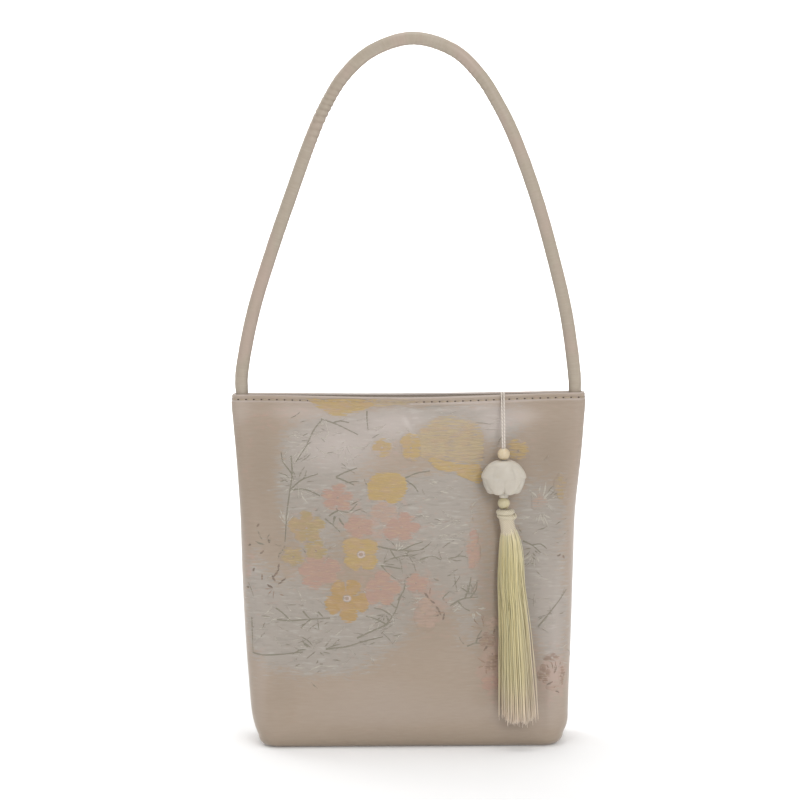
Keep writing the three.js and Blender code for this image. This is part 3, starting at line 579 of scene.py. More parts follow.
def dress(piece, material, degrees, slot, *nodes):
    piece.data.materials.append(material)
    smooth(piece, degrees)
    hand_over(piece, slot, *nodes)


# %% Panels
SIDE_RUN = 8  # mm of cloth from a corner to its seam, on average
hem_start = 1 - 9 / WALL  # the rows lie closer together in the topmost 9 mm
PANEL_COLUMNS = np.concatenate([np.linspace(-1, -FACE_END, 30), np.linspace(-FACE_END, FACE_END, 172)[1:-1],
                                np.linspace(FACE_END, 1, 30)])
PANEL_ROWS = np.concatenate([np.linspace(-1, 0, 10)[:-1], np.linspace(0, hem_start, 112)[:-1],
                             np.linspace(hem_start, 1, 30)])


def make_panel(name, half):
    piece, u, v = grid(name, PANEL_COLUMNS, PANEL_ROWS)
    points = surface(half, u, v)
    set_points(piece, points)
    width, _, _, corner = plan_at(half, u, np.maximum(v, 0))
    over = np.maximum(np.abs(u) - FACE_END, 0) / (1 - FACE_END) * (corner * math.pi / 2 + SIDE_RUN)
    across = np.sign(u) * ((width - corner) * np.clip(np.abs(u) / FACE_END, 0, 1) + over)
    set_values(piece, "silver", silver_at(half, across, points[:, 2]))
    set_values(piece, "haze", haze_at(half, across, points[:, 2]))
    below = BAG_HEIGHT - points[:, 2] / sag(points[:, 0])
    # painted highlights: on the rim's folded edge and on the swell just below the stitches
    painted_fold_highlight = 0.9 * bell(below, 0.7) + 0.8 * bell(below - HEM - 1.0, 0.5)
    set_values(piece, "painted_light", np.clip(painted_light_at(half, across, points[:, 2]) + painted_fold_highlight, -1, 1))
    piece.data.materials.append(brocade)
    piece.data.materials.append(lining)
    apply_modifier(piece, "SOLIDIFY", thickness=CLOTH / 1000, offset=-1, material_offset=1, material_offset_rim=0)
    apply_modifier(piece, "BEVEL", width=0.0004, segments=2, limit_method="ANGLE", angle_limit=math.radians(60))
    smooth(piece, 50)
    return piece

# %% [markdown]
# ## The brocade
# The cloth is a jacquard: a satin of mauve-beige silk blend whose weft floats lie level, so its gloss breaks
# into short level streaks. The real threads are a fifth of a millimetre thick and would vanish at this
# distance, so the streaks are drawn about a millimetre high and seven long. They read Object coordinates,
# so they stay level round the corners. The silver weft comes up through the same streaks.

# %% Brocade
GROUND_DARK, GROUND_LIGHT, GROUND_WARM = "#998879", "#aa9b8c", "#a08d78"
# ROSE_HAZE is woven; the other two are painted light, the colours of the painted sheen and the painted shade
ROSE_HAZE, PAINTED_SHEEN, PAINTED_SHADE = "#b39385", "#c9bdb7", "#7d6e5b"
SILVER_WEFT, SILVER_PALE, SILVER_GREY = "#a09a93", "#b4afa7", "#8d887e"


def streaks(material, length, height, detail=3.0, seed=0.0):
    """A noise drawn out along the level threads. length, height: of one streak in mm."""
    scale = (1000 / length, 1000 / length, 1000 / height)
    return noise(material, mapped(material, place_of(material), scale, Location=(seed,) * 3), Detail=detail)


def threshold(material, amount, grain, spread, cut, edge=5.0):
    """Turns an amount from 0 to 1 into ragged threads: 1 where the amount beats the grain.

    spread: how uneven the threads are. cut: the amount that they start at. edge: how sharply they end.
    """
    centred = math_node(material, "MULTIPLY_ADD", grain, spread, -spread / 2 - cut)
    return add_node(material, "ShaderNodeMath", {0: math_node(material, "ADD", amount, centred), 1: edge},
                    operation="MULTIPLY", use_clamp=True).outputs[0]


def ground_colour(material):
    """The colour of the satin ground with its silver areas, and the streaks that break it up."""
    long_streaks = streaks(material, 7.0, 1.0)
    cloudy = streaks(material, 45.0, 60.0, 2.0, 3.0)
    satin = mixed(material, long_streaks, linear(GROUND_DARK), linear(GROUND_LIGHT))
    satin = mixed(material, math_node(material, "MULTIPLY", cloudy, 0.5), satin, linear(GROUND_WARM))
    bright = threshold(material, stored(material, "silver"), streaks(material, 5.0, 1.1, 4.0, 7.0), 1.5, 0.26, 2.6)
    strength = math_node(material, "MULTIPLY", bright, 0.7)
    silvery = mixed(material, strength, satin, linear(SILVER_WEFT))
    scribble = streaks(material, 8.0, 1.5, 5.0, 11.0)
    for low, high, most, colour in ((0.58, 0.66, 0.5, SILVER_PALE), (0.44, 0.36, 0.4, SILVER_GREY)):
        share = math_node(material, "MULTIPLY", ramp(material, scribble, low, high, most), bright)
        silvery = mixed(material, share, silvery, linear(colour))
    rosy = threshold(material, stored(material, "haze"), streaks(material, 4.5, 2.0, 4.0, 17.0), 2.4, 0.3, 1.6)
    silvery = mixed(material, math_node(material, "MULTIPLY", rosy, 0.62), silvery, linear(ROSE_HAZE))
    return silvery, long_streaks, bright


def with_painted_light(material, colour):
    """Painted light on the cloth: painted sheen towards pale, painted shade towards dark."""
    painted_light = stored(material, "painted_light")
    colour = mixed(material, ramp(material, painted_light, 0.0, 1.0, 0.55), colour, linear(PAINTED_SHEEN))
    return mixed(material, ramp(material, painted_light, 0.0, -1.0, 0.4), colour, linear(PAINTED_SHADE))


brocade = new_material("jacquard satin of silk blend", Sheen_Weight=0.4, Sheen_Roughness=0.35,
                       Specular_IOR_Level=0.6)
colour, level_threads, silver_threads = ground_colour(brocade)
into_shader(brocade, with_painted_light(brocade, colour))
gloss = math_node(brocade, "MULTIPLY_ADD", silver_threads, -0.08, 0.38)
into_shader(brocade, math_node(brocade, "MULTIPLY_ADD", level_threads, 0.12, gloss), "Roughness")
relief = math_node(brocade, "MULTIPLY_ADD", silver_threads, 0.4, level_threads)
bump_from(brocade, relief, 0.35, 0.12)
print("brocade:", len(brocade.node_tree.nodes), "nodes")

# %% [markdown]
# ## The inside
# The inner faces of the walls are plain twill in the ground's colour, a little darker. Twill shows as
# slanting ribs; they are drawn a millimetre apart, which is about twice the real pitch, to show at all.

# %% Lining
WAVES_PER_MM = 0.31  # a wave node's scale for one crest to a unit, here a millimetre
lining = new_material("cotton twill lining", Roughness=0.85, Sheen_Weight=0.1, Specular_IOR_Level=0.3)
slanted = mapped(lining, place_of(lining), (1000,) * 3, Rotation=(0, math.radians(58), 0))
ribs = waves(lining, slanted, WAVES_PER_MM, Distortion=0.6, Detail=2.0)
into_shader(lining, mixed(lining, ribs, linear("#93877c"), linear("#a89c90")))
bump_from(lining, ribs, 0.3, 0.1)
print("lining ribs about 1 mm apart")

# %% Make the panels
for side_name, half in (("front", FRONT), ("back", BACK)):
    hand_over(make_panel(f"{side_name}_panel_cloth", half), "brocade", f"{side_name}_panel")

# %% [markdown]
# ## The woven flowers
# The flowers are woven with extra wefts of yellow and rose silk that float on the face, so they stand a
# quarter of a millimetre proud and are barred by level threads. They could be painted by the material
# alone, but then nothing would catch the light, so each flower is a thin patch laid on the wall, with its
# border tucked under the surface. The patch has the ground's own colour as well, and an attribute called
# cover says where the silk hides it, so its edge breaks into threads as real floats do. The chart is a
# table in millimetres on the flat cloth. The back shows the same repeat of the cloth further on.

# %% Silks of the pattern
YELLOW, AMBER, OCHRE, CLOUD = "#b19764", "#ab8c5a", "#a39069", "#ae9c7b"
ROSE, BLUSH, BROWN, MARK = "#ab8c7f", "#ac9486", "#90796a", "#74675c"
TWIG, PALE = "#827e6f", "#b7b1a5"
EYE, ROSY_BLOTCH, GLINT = "#c6b6ae", "#b0927c", "#c6b084"
SILKS = {YELLOW: "yellow_silk", AMBER: "yellow_silk", OCHRE: "yellow_silk", CLOUD: "yellow_silk", ROSE: "rose_silk",
         BLUSH: "rose_silk", BROWN: "rose_silk", MARK: "rose_silk", TWIG: "twig_silk", PALE: "silver_silk"}


def silk_material(name, bar_height, roughness, uneven):
    """A pattern weft over the ground: colour from the mesh, barred by level threads, unevenly dyed, with painted
    glints.
    """
    material = new_material(name, Roughness=roughness, Sheen_Weight=0.2, Sheen_Roughness=0.4)
    ground, _, _ = ground_colour(material)
    tint = stored(material, "tint", "Color")
    up = add_node(material, "ShaderNodeSeparateXYZ", {0: place_of(material)}).outputs[2]
    wander = math_node(material, "MULTIPLY", streaks(material, 9.0, 2.0, 2.0, 5.0), 14.0)
    phase = math_node(material, "MULTIPLY_ADD", up, 2000 * math.pi / bar_height, wander)
    bars = math_node(material, "MULTIPLY_ADD", math_node(material, "SINE", phase), 0.5, 0.5)
    dull = mixed(material, 0.45, tint, linear(GROUND_DARK))
    silk = mixed(material, math_node(material, "MULTIPLY", bars, 0.45), tint, dull)
    blotch = ramp(material, streaks(material, 7.0, 4.0, 3.0, 13.0), 0.46, 0.62, uneven)
    silk = mixed(material, blotch, silk, linear(ROSY_BLOTCH))
    # painted glints: thin pale streaks where the floats catch the light
    glint = ramp(material, streaks(material, 5.0, 0.8, 3.0, 19.0), 0.56, 0.66, uneven * 0.8)
    silk = mixed(material, glint, silk, linear(GLINT))
    # the panel's painted sheen and painted shade lie over the silk as well, at about a third of their strength
    silk = mixed(material, 0.35, silk, with_painted_light(material, silk))
    shown = threshold(material, stored(material, "cover"), streaks(material, 7.0, 0.9, 3.0, 2.0), 2.6, 0.22, 3.0)
    into_shader(material, mixed(material, shown, with_painted_light(material, ground), silk))
    bump_from(material, math_node(material, "MULTIPLY", shown, bars), 0.5, 0.2)
    return material


silk_materials = {
    "yellow_silk": silk_material("yellow rayon floss weft", 2.1, 0.42, 0.38),
    "rose_silk": silk_material("rose silk weft", 1.9, 0.5, 0.26),
    "twig_silk": silk_material("grey green silk weft", 1.4, 0.55, 0.0),
    "silver_silk": silk_material("silver silk weft", 1.2, 0.38, 0.0),
}
print(len(silk_materials), "pattern wefts")

# %% [markdown]
# ## The other cloth and the threads
# The base is wrapped in the same satin, laid flat on board. The handle is a strip of it, rolled so that its
# threads run askew round the roll. Spun threads and cords differ only in their colours, their gloss and the
# pitch of their plies, so one function makes them all.

# %% Cloth of the base and the handle, and the threads
base_brocade = new_material("jacquard satin on board", Roughness=0.5, Sheen_Weight=0.2)
base_rows = noise(base_brocade, mapped(base_brocade, place_of(base_brocade), (140, 1000, 140)), Detail=3.0)
into_shader(base_brocade, mixed(base_brocade, base_rows, linear(GROUND_DARK), linear(GROUND_LIGHT)))
bump_from(base_brocade, base_rows, 0.3, 0.1)

# dull and rosy lengths of the strip, and the painted shade in its wrinkles and along its seam
rolled_cloth = new_material("jacquard satin rolled on the bias", Roughness=0.4, Sheen_Weight=0.08,
                            Sheen_Roughness=0.35)
askew = mapped(rolled_cloth, place_of(rolled_cloth, "UV"), (3.0, 480.0, 1.0), Rotation=(0, 0, 0.03))
rolled_rows = noise(rolled_cloth, askew, Detail=4.0, Roughness=0.6)
tone = mixed(rolled_cloth, rolled_rows, linear("#a09384"), linear("#b8ad9e"))
dull_lengths = math_node(rolled_cloth, "MULTIPLY", streaks(rolled_cloth, 9.0, 16.0, 2.0, 1.0), 0.4)
rosy_lengths = ramp(rolled_cloth, streaks(rolled_cloth, 26.0, 34.0, 2.0, 8.0), 0.48, 0.62, 0.6)
shaded = stored(rolled_cloth, "crease")
for share, colour in ((dull_lengths, "#a4957f"), (rosy_lengths, "#b39e92"), (shaded, "#8b7c6d")):
    tone = mixed(rolled_cloth, share, tone, linear(colour))
into_shader(rolled_cloth, tone)
bump_from(rolled_cloth, rolled_rows, 0.35, 0.15)


def thread_material(name, dark, light, twist_mm, roughness):
    """Spun thread: fine slanting plies, drawn at the thread's own twist."""
    material = new_material(name, Roughness=roughness, Sheen_Weight=0.3)
    turned = mapped(material, place_of(material), (1000,) * 3, Rotation=(0.5, 0.6, 0.4))
    plies = waves(material, turned, WAVES_PER_MM / twist_mm, Distortion=1.2, Detail=2.0)
    into_shader(material, mixed(material, plies, linear(dark), linear(light)))
    bump_from(material, plies, 0.3, 0.05)
    return material


sewing_thread = thread_material("polyester sewing thread", "#9c8a72", "#b7a68e", 0.5, 0.5)
# a dark thread capsule stands for the shade in each needle hole: painted shade
hole_shade = thread_material("shaded needle hole", "#3d332b", "#52463c", 0.5, 0.9)
print("threads:", sewing_thread.name, "and", hole_shade.name)

# %% Drawing the pattern: patches, flowers, twigs and leaves
class Chart:
    """Points on the flat cloth with their cover and tint, gathered for one silk of one panel."""

    def __init__(self):
        self.points, self.faces = [], []

    def add(self, across, up, lift, cover, tint):
        self.points.append((across, up, lift, cover, *tint))
        return len(self.points) - 1

    def cut(self, half):
        """The points and the faces that lie on the panel."""
        points = np.array(self.points)
        across, up = points[:, 0], points[:, 1]
        inside = (up < BAG_HEIGHT - 1.9) & (up > BASE_ROUND + 0.5) & (np.abs(across) < reach_at(half, across, up))
        keep = [face for face in self.faces if all(inside[list(face)])]
        used = sorted({corner for face in keep for corner in face})
        place = {old: new for new, old in enumerate(used)}
        return points[used], [tuple(place[corner] for corner in face) for face in keep]


# share of the way out from a patch's middle, and lift in mm
RINGS = [(1.0, -0.06), (0.93, 0.12), (0.82, 0.2), (0.62, 0.24), (0.38, 0.25), (0.15, 0.24)]
shade_dice = random.Random(5)


def patch(chart, outline, colour, strength, crease=None, raised=0.0):
    """A woven shape inside a closed outline. crease: how deep the ground cuts in at each point, 0 to 1."""
    outline = np.array(outline, float)
    middle = outline.mean(axis=0)
    reach = np.linalg.norm(outline - middle, axis=1)
    tint, dark = np.array(linear(colour)), np.array(linear(GROUND_DARK))
    crease = np.zeros(len(outline)) if crease is None else crease
    count, rows = len(outline), []
    for share, lift in RINGS:
        cover = np.minimum(1, (1 - share) * reach / 2.4) * strength * (1 - 0.7 * crease * share)
        row = []
        for i in range(count):
            x, z = middle + (outline[i] - middle) * share
            mix = 0.16 * crease[i] * share + 0.1 * (1 - share)
            row.append(chart.add(x, z, lift + raised, cover[i], tint * (1 - mix) + dark * mix))
        rows.append(row)
    centre = chart.add(*middle, RINGS[-1][1] + raised, strength, tint * 0.9 + dark * 0.1)
    following = [*range(1, count), 0]
    for outer, inner in zip(rows, rows[1:]):
        chart.faces += [(outer[i], outer[j], inner[j], inner[i]) for i, j in enumerate(following)]
    chart.faces += [(rows[-1][i], rows[-1][j], centre) for i, j in enumerate(following)]


def spline(a, b, c, d, t):
    """The place at t, 0 to 1, between b and c on a smooth curve through four points."""
    return 0.5 * (2 * b + (c - a) * t + (2 * a - 5 * b + 4 * c - d) * t * t + (3 * b - a - 3 * c + d) * t ** 3)


def round_curve(points, steps):
    """A smooth closed curve through a few points, anticlockwise."""
    points = np.array(points, float)
    area = np.sum(points[:, 0] * np.roll(points[:, 1], -1) - np.roll(points[:, 0], -1) * points[:, 1])
    points = points if area > 0 else points[::-1]
    before, after, beyond = np.roll(points, 1, 0), np.roll(points, -1, 0), np.roll(points, -2, 0)
    curve = spline(before, points, after, beyond, np.linspace(0, 1, steps, endpoint=False)[:, None, None])
    return curve.transpose(1, 0, 2).reshape(-1, 2)


def flower(charts, across, up, wide, tall, petals, turned, notch, colour, strength, eye):
    """An open flower with round petals, seen from the front. turned: in degrees. notch: between the petals."""
    angle = np.linspace(0, 2 * math.pi, 12 * petals, endpoint=False)
    on_petal = angle - math.radians(turned)
    wave = np.abs(np.cos(petals * on_petal / 2)) ** 0.55
    sizes = [shade_dice.uniform(0.86, 1.08) for _ in range(petals)]
    petal = np.round(on_petal / (2 * math.pi) * petals).astype(int) % petals
    reach = (1 - notch * (1 - wave)) * np.array(sizes)[petal]
    outline = np.stack([across + wide * reach * np.cos(angle), up + tall * reach * np.sin(angle)], axis=1)
    patch(charts[SILKS[colour]], outline, colour, strength, (1 - wave) ** 1.2)
    ring = np.linspace(0, 2 * math.pi, 14, endpoint=False)
    size = 2.9 if eye else 0.8
    eye_outline = np.stack([across + size * np.cos(ring), up + size * 0.85 * np.sin(ring)], axis=1)
    if eye:
        patch(charts["silver_silk"], eye_outline, EYE, 1.2, raised=0.14)
        patch(charts["rose_silk"], (eye_outline - (across, up)) * 0.5 + (across, up), ROSE, 1.6, raised=0.26)
    else:
        patch(charts[SILKS[colour]], eye_outline, BROWN, 0.7, raised=0.14)


def ribbon(chart, points, width, colour, strength, leaf=False):
    """A thread line that thins out, or a leaf pointed at both ends, with its edges tucked under."""
    points = np.array(points, float)
    padded = np.vstack([2 * points[0] - points[1], points, 2 * points[-1] - points[-2]])
    path = []
    for i in range(1, len(padded) - 2):
        steps = max(2, int(np.linalg.norm(padded[i + 1] - padded[i]) / 1.6))
        path += [spline(*padded[i - 1:i + 3], t) for t in np.linspace(0, 1, steps, endpoint=False)]
    path = np.array(path + [points[-1]])
    along_path = np.gradient(path, axis=0)
    side = np.stack([-along_path[:, 1], along_path[:, 0]], axis=1)
    side /= np.linalg.norm(side, axis=1, keepdims=True)
    share = np.linspace(0, 1, len(path))
    half = width / 2 * (np.sin(math.pi * (0.06 + 0.9 * share)) ** 0.7 if leaf else 1 - 0.45 * share)
    rows = []
    for place, off in zip(path, side * half[:, None]):
        rows.append([chart.add(*(place + way * off), 0.2 if way == 0 else -0.05, cover * strength, linear(colour))
                     for way, cover in ((1, 0.35), (0, 1.1), (-1, 0.35))])
    for low, high in zip(rows, rows[1:]):
        chart.faces.append((low[1], high[1], high[0], low[0]))
        chart.faces.append((low[2], high[2], high[1], low[1]))


leaf_dice = random.Random(11)


def leaf_fan(charts, across, up, reach, first, last, count, colour, strength):
    """Narrow willow leaves that spread from one point."""
    for i in range(count):
        angle = math.radians(first + (last - first) * (i + leaf_dice.uniform(-0.6, 0.6)) / max(count - 1, 1))
        length = reach * leaf_dice.uniform(0.5, 1.0)
        bend = leaf_dice.uniform(-0.3, 0.3)
        start = leaf_dice.uniform(0.05, 0.6) * length
        points = [(across + s * length * math.cos(angle + bend * s) + start * math.cos(angle) * (1 - s),
                   up + s * length * math.sin(angle + bend * s) + start * math.sin(angle) * (1 - s))
                  for s in (0, 0.5, 1)]
        ribbon(charts[SILKS[colour]], points, leaf_dice.uniform(0.8, 1.3), colour, 0.85 * strength, leaf=True)


print("drawing tools ready")

# %% The chart of one repeat
# across, up, half width, half height, petals, turned by, notch, silk, strength, ring in its middle
FLOWERS = [
    (-15.8, 179, 6.9, 6, 4, 10, 0.1, YELLOW, 0.68, 0),
    (1.3, 178.7, 7.4, 9.6, 4, 40, 0.12, YELLOW, 0.85, 0),
    (-61.1, 130.6, 11.6, 11.4, 5, 20, 0.34, OCHRE, 0.8, 0),
    (-69, 113.6, 8.4, 7.4, 5, 50, 0.25, OCHRE, 0.75, 0),
    (-55.5, 117.2, 8.4, 7.8, 5, 0, 0.25, OCHRE, 0.8, 0),
    (-28.6, 115.8, 14, 13, 4, 44, 0.3, YELLOW, 1, 1),
    (-37.2, 89.6, 14, 14.2, 5, -12, 0.3, AMBER, 1, 1),
    (65.2, 175.9, 7.8, 7, 4, 30, 0.1, YELLOW, 0.64, 0),
    (-42.2, 149.2, 10.7, 8.6, 5, 12, 0.25, ROSE, 0.75, 0),
    (-29.5, 132, 11, 8.3, 5, 40, 0.25, ROSE, 0.9, 0),
    (-4.6, 131.9, 12.8, 9.8, 5, 0, 0.3, ROSE, 0.85, 0),
    (-15.2, 140.7, 9.8, 8, 4, 20, 0.25, BLUSH, 0.7, 0),
    (-53.5, 105.5, 15.2, 11.3, 5, 30, 0.25, ROSE, 0.85, 0),
    (-17, 95.3, 12.5, 11.6, 5, 10, 0.3, ROSE, 0.9, 0),
    (3.8, 99.1, 8.3, 7.7, 5, 25, 0.3, ROSE, 0.8, 0),
    (9, 80.8, 7.1, 11.9, 3, 90, 0.2, BLUSH, 0.5, 0),
    (37.4, 117.5, 5.6, 13, 4, 75, 0.3, ROSE, 0.6, 0),
    (49, 74.5, 5.4, 4.8, 4, 0, 0.3, BLUSH, 0.6, 0),
    (48.4, 51.4, 4.6, 6.8, 4, 30, 0.35, BROWN, 0.75, 0),
    (80, 43.4, 4.6, 6.6, 4, 15, 0.4, BROWN, 0.7, 0),
    (77, 144.5, 5.7, 5.9, 5, 0, 0.3, BLUSH, 0.45, 0),
    (90.2, 155, 4.5, 8.9, 4, 0, 0.3, OCHRE, 0.4, 0),
    (46.2, 64.8, 5.4, 5.2, 4, 30, 0.3, BROWN, 0.85, 0),
    (48.6, 39.3, 7.4, 5.6, 5, 10, 0.2, ROSE, 0.85, 0),
    (84.4, 53, 5.4, 3.4, 4, 0, 0.3, BROWN, 0.65, 0),
    (91, 42, 3.4, 6.6, 4, 0, 0.3, BROWN, 0.65, 0),
    (86, 35.6, 5.6, 3, 4, 0, 0.3, BLUSH, 0.6, 0),
]
# silk, strength, outline
PATCHES = [
    # the flower at the rim, and its pale end
    (YELLOW, 0.74, [(-60.7, 208.9), (-57.2, 204.5), (-51.9, 200.4), (-43.6, 196.3), (-34.7, 196.9),
        (-26.3, 200.5), (-20, 203.5), (-17.7, 206), (-16.2, 207.6), (-21.5, 209.4), (-40.5, 209.9)]),
    (CLOUD, 0.42, [(-24, 207.6), (-20, 202.6), (-10, 203.4), (1, 204.4), (7, 206.4), (-6, 207.8)]),
    # the fan
    (CLOUD, 0.62, [(2.5, 182.8), (6.1, 191), (13.3, 195.6), (21, 197.9), (30.5, 196.9), (38.8, 194),
        (44.1, 189.2), (45.2, 179.7), (44, 169.7), (36.2, 167.5), (25.6, 169.5), (16.1, 170.3), (7.2, 172.2)]),
    # the fan's rim
    (YELLOW, 0.8, [(10.2, 174.5), (18.5, 172), (27.9, 170), (36.2, 168.7), (43.4, 167.9), (43.9, 156.6),
        (36.2, 158.6), (27.9, 162.4), (20.2, 163.7), (12.5, 168.6)]),
    # the round flower
    (YELLOW, 0.95, [(-25.5, 152.1), (-25.4, 158), (-21.9, 162.8), (-15.9, 164.9), (-8.2, 164.6),
        (-2.3, 162.2), (0, 156.3), (-2.4, 149.9), (-7.2, 145.2), (-11.9, 145.6), (-14.2, 147.6),
        (-17.8, 146.9), (-23.1, 147.4)]),
]
# strength, points of the line
TWIGS = [
    (1, [(-51.9, 195.6), (-44.8, 193.3), (-37.7, 190.1), (-30, 186.3)]),
    (0.8, [(-44.8, 193.3), (-40.6, 194.5), (-35.3, 193.4)]), (0.8, [(-24.6, 200.5), (-24.6, 195.2), (-24, 189.3)]),
    (0.9, [(-51.3, 195), (-56.2, 189.1), (-61, 179.5), (-67.1, 169.9)]),
    (0.9, [(-70, 173.5), (-69.5, 162.8), (-70.8, 153.3), (-72.7, 140.2), (-74, 122.4)]),
    (0.8, [(-69.5, 162.8), (-74.8, 169.9), (-76, 175.8)]), (0.8, [(-70.2, 153.9), (-63.6, 159.3), (-54, 163)]),
    (0.8, [(-69.6, 153.3), (-61.2, 153.4), (-52.9, 149.9)]),
    (0.9, [(-43.3, 161.4), (-37.9, 164.1), (-30.7, 166.8)]),
    (0.9, [(-43.3, 161.1), (-37.9, 159.1), (-32.6, 156.8)]), (0.9, [(-2.3, 161), (4.8, 163.9), (12.5, 165)]),
    (0.7, [(-2.3, 159.9), (3, 156.3), (5.3, 152.8)]),
    (0.9, [(-47.6, 138.2), (-42.2, 141.3), (-35.7, 140.8), (-30.9, 145.6)]),
    (0.8, [(-42.2, 141.3), (-44.6, 145.9), (-46.3, 149.5)]), (0.8, [(-50, 136.4), (-45.3, 132.9), (-41.1, 128.8)]),
    (1, [(-19.8, 120.9), (-11.5, 119.2), (-4.4, 118.6), (2.1, 121.6), (8.1, 123.3)]),
    (0.8, [(-4.4, 118.6), (1.5, 118), (8.6, 119.1)]), (0.8, [(-11.5, 119.2), (-9.1, 115.1), (-6.8, 112.7)]),
    (0.9, [(-16.9, 109.7), (-11, 108.6), (-4.5, 107.4)]), (0.9, [(-16.9, 109.7), (-12.8, 105), (-8.1, 101.5)]),
    (0.7, [(-15.1, 111.5), (-9.2, 113.9), (-2.6, 115.1)]),
    (1, [(-79.1, 76.5), (-71.3, 75.9), (-60.6, 76.7), (-47.4, 77.8)]),
    (0.9, [(-79.7, 83.3), (-75.5, 80.3), (-71.3, 76.2)]), (0.8, [(-63.5, 81.6), (-61.2, 78.7), (-58.8, 76.7)]),
    (0.8, [(-64.8, 71.6), (-61.8, 74.6), (-58.8, 76.7)]), (0.7, [(-54.6, 81.2), (-52.2, 78.9), (-51, 77.1)]),
    (0.8, [(-94.8, 77.4), (-94.6, 66.8), (-94.4, 56.2)]),
    (1, [(-94.7, 56.5), (-85.8, 55.6), (-74.5, 56.2), (-63.7, 57.4)]),
    (1, [(-50, 59.4), (-38, 61.1), (-26.7, 64.6), (-16, 67.4)]),
    (1, [(-31.4, 66.3), (-22.5, 70.6), (-14.2, 74.8), (-8.8, 82), (-5.8, 90.3)]),
    (0.9, [(-14.2, 74.8), (-20.1, 77.7), (-26, 79.4)]), (0.8, [(-10.6, 79.6), (-15.9, 83.1), (-21.2, 84.3)]),
    (0.8, [(-8.2, 84.4), (-12.3, 87.9), (-15.2, 92.6)]), (0.9, [(-7, 89.1), (-3.4, 95), (-2.7, 100.9)]),
    (0.9, [(23.8, 85.1), (31, 89), (40.5, 89.9)]), (0.9, [(32.8, 89.5), (35.2, 95.4), (36.4, 101.8)]),
    (0.8, [(35.8, 89.4), (39.4, 94.6), (40, 99.9)]), (0.7, [(28.6, 87.9), (31.6, 84.2), (35.7, 81.7)]),
    (0.9, [(33.8, 61.1), (39.2, 62.7), (44.5, 61.9)]), (0.7, [(39.2, 62.7), (40.4, 66.8), (42.8, 70.2)]),
    (0.8, [(67.6, 122.1), (73, 119.6), (78.3, 114.8)]), (0.7, [(73, 119.6), (78.3, 120.1), (81.9, 117.1)]),
    (0.9, [(76.2, 71.1), (84, 80.5), (94.2, 92.8)]), (0.6, [(22.8, 112.9), (30, 114.5), (35.9, 113.1)]),
    (0.6, [(6.2, 112.7), (13.3, 114.9), (18.7, 112.4)]),
]
# small brown marks: across, up, length, angle
SPECKS = [
    (-90.1, 132.4, 2.6, 60), (-95.5, 120.6, 2.2, 20), (-83.6, 122.9, 2.4, 110), (-79.5, 104, 6.4, 55),
    (-76, 99.3, 6, 40), (-83.2, 96.3, 4, 150), (-87.9, 101.6, 3.4, 90), (-97.5, 95.2, 2.4, 0),
    (-87.8, 116.4, 3, 40), (-81, 101, 4.4, 120), (-78, 108, 3, 80), (89, 113.5, 2.6, 30), (92, 112.3, 2.2, 120),
    (86.5, 46, 5, 70), (90, 40, 4.4, 100), (83, 38, 4, 30), (87.5, 33, 3.6, 150), (45, 60, 5, 60),
    (49.5, 54, 5, 110), (42, 66, 5.6, 20), (50, 70, 4.6, 80), (-93, 106, 2.4, 70), (9.5, 92, 5.4, -50),
    (13, 88, 4.4, -30), (17, 82.5, 6.4, -60), (20, 79, 4.4, 80), (15.5, 79.5, 4, 20),
]
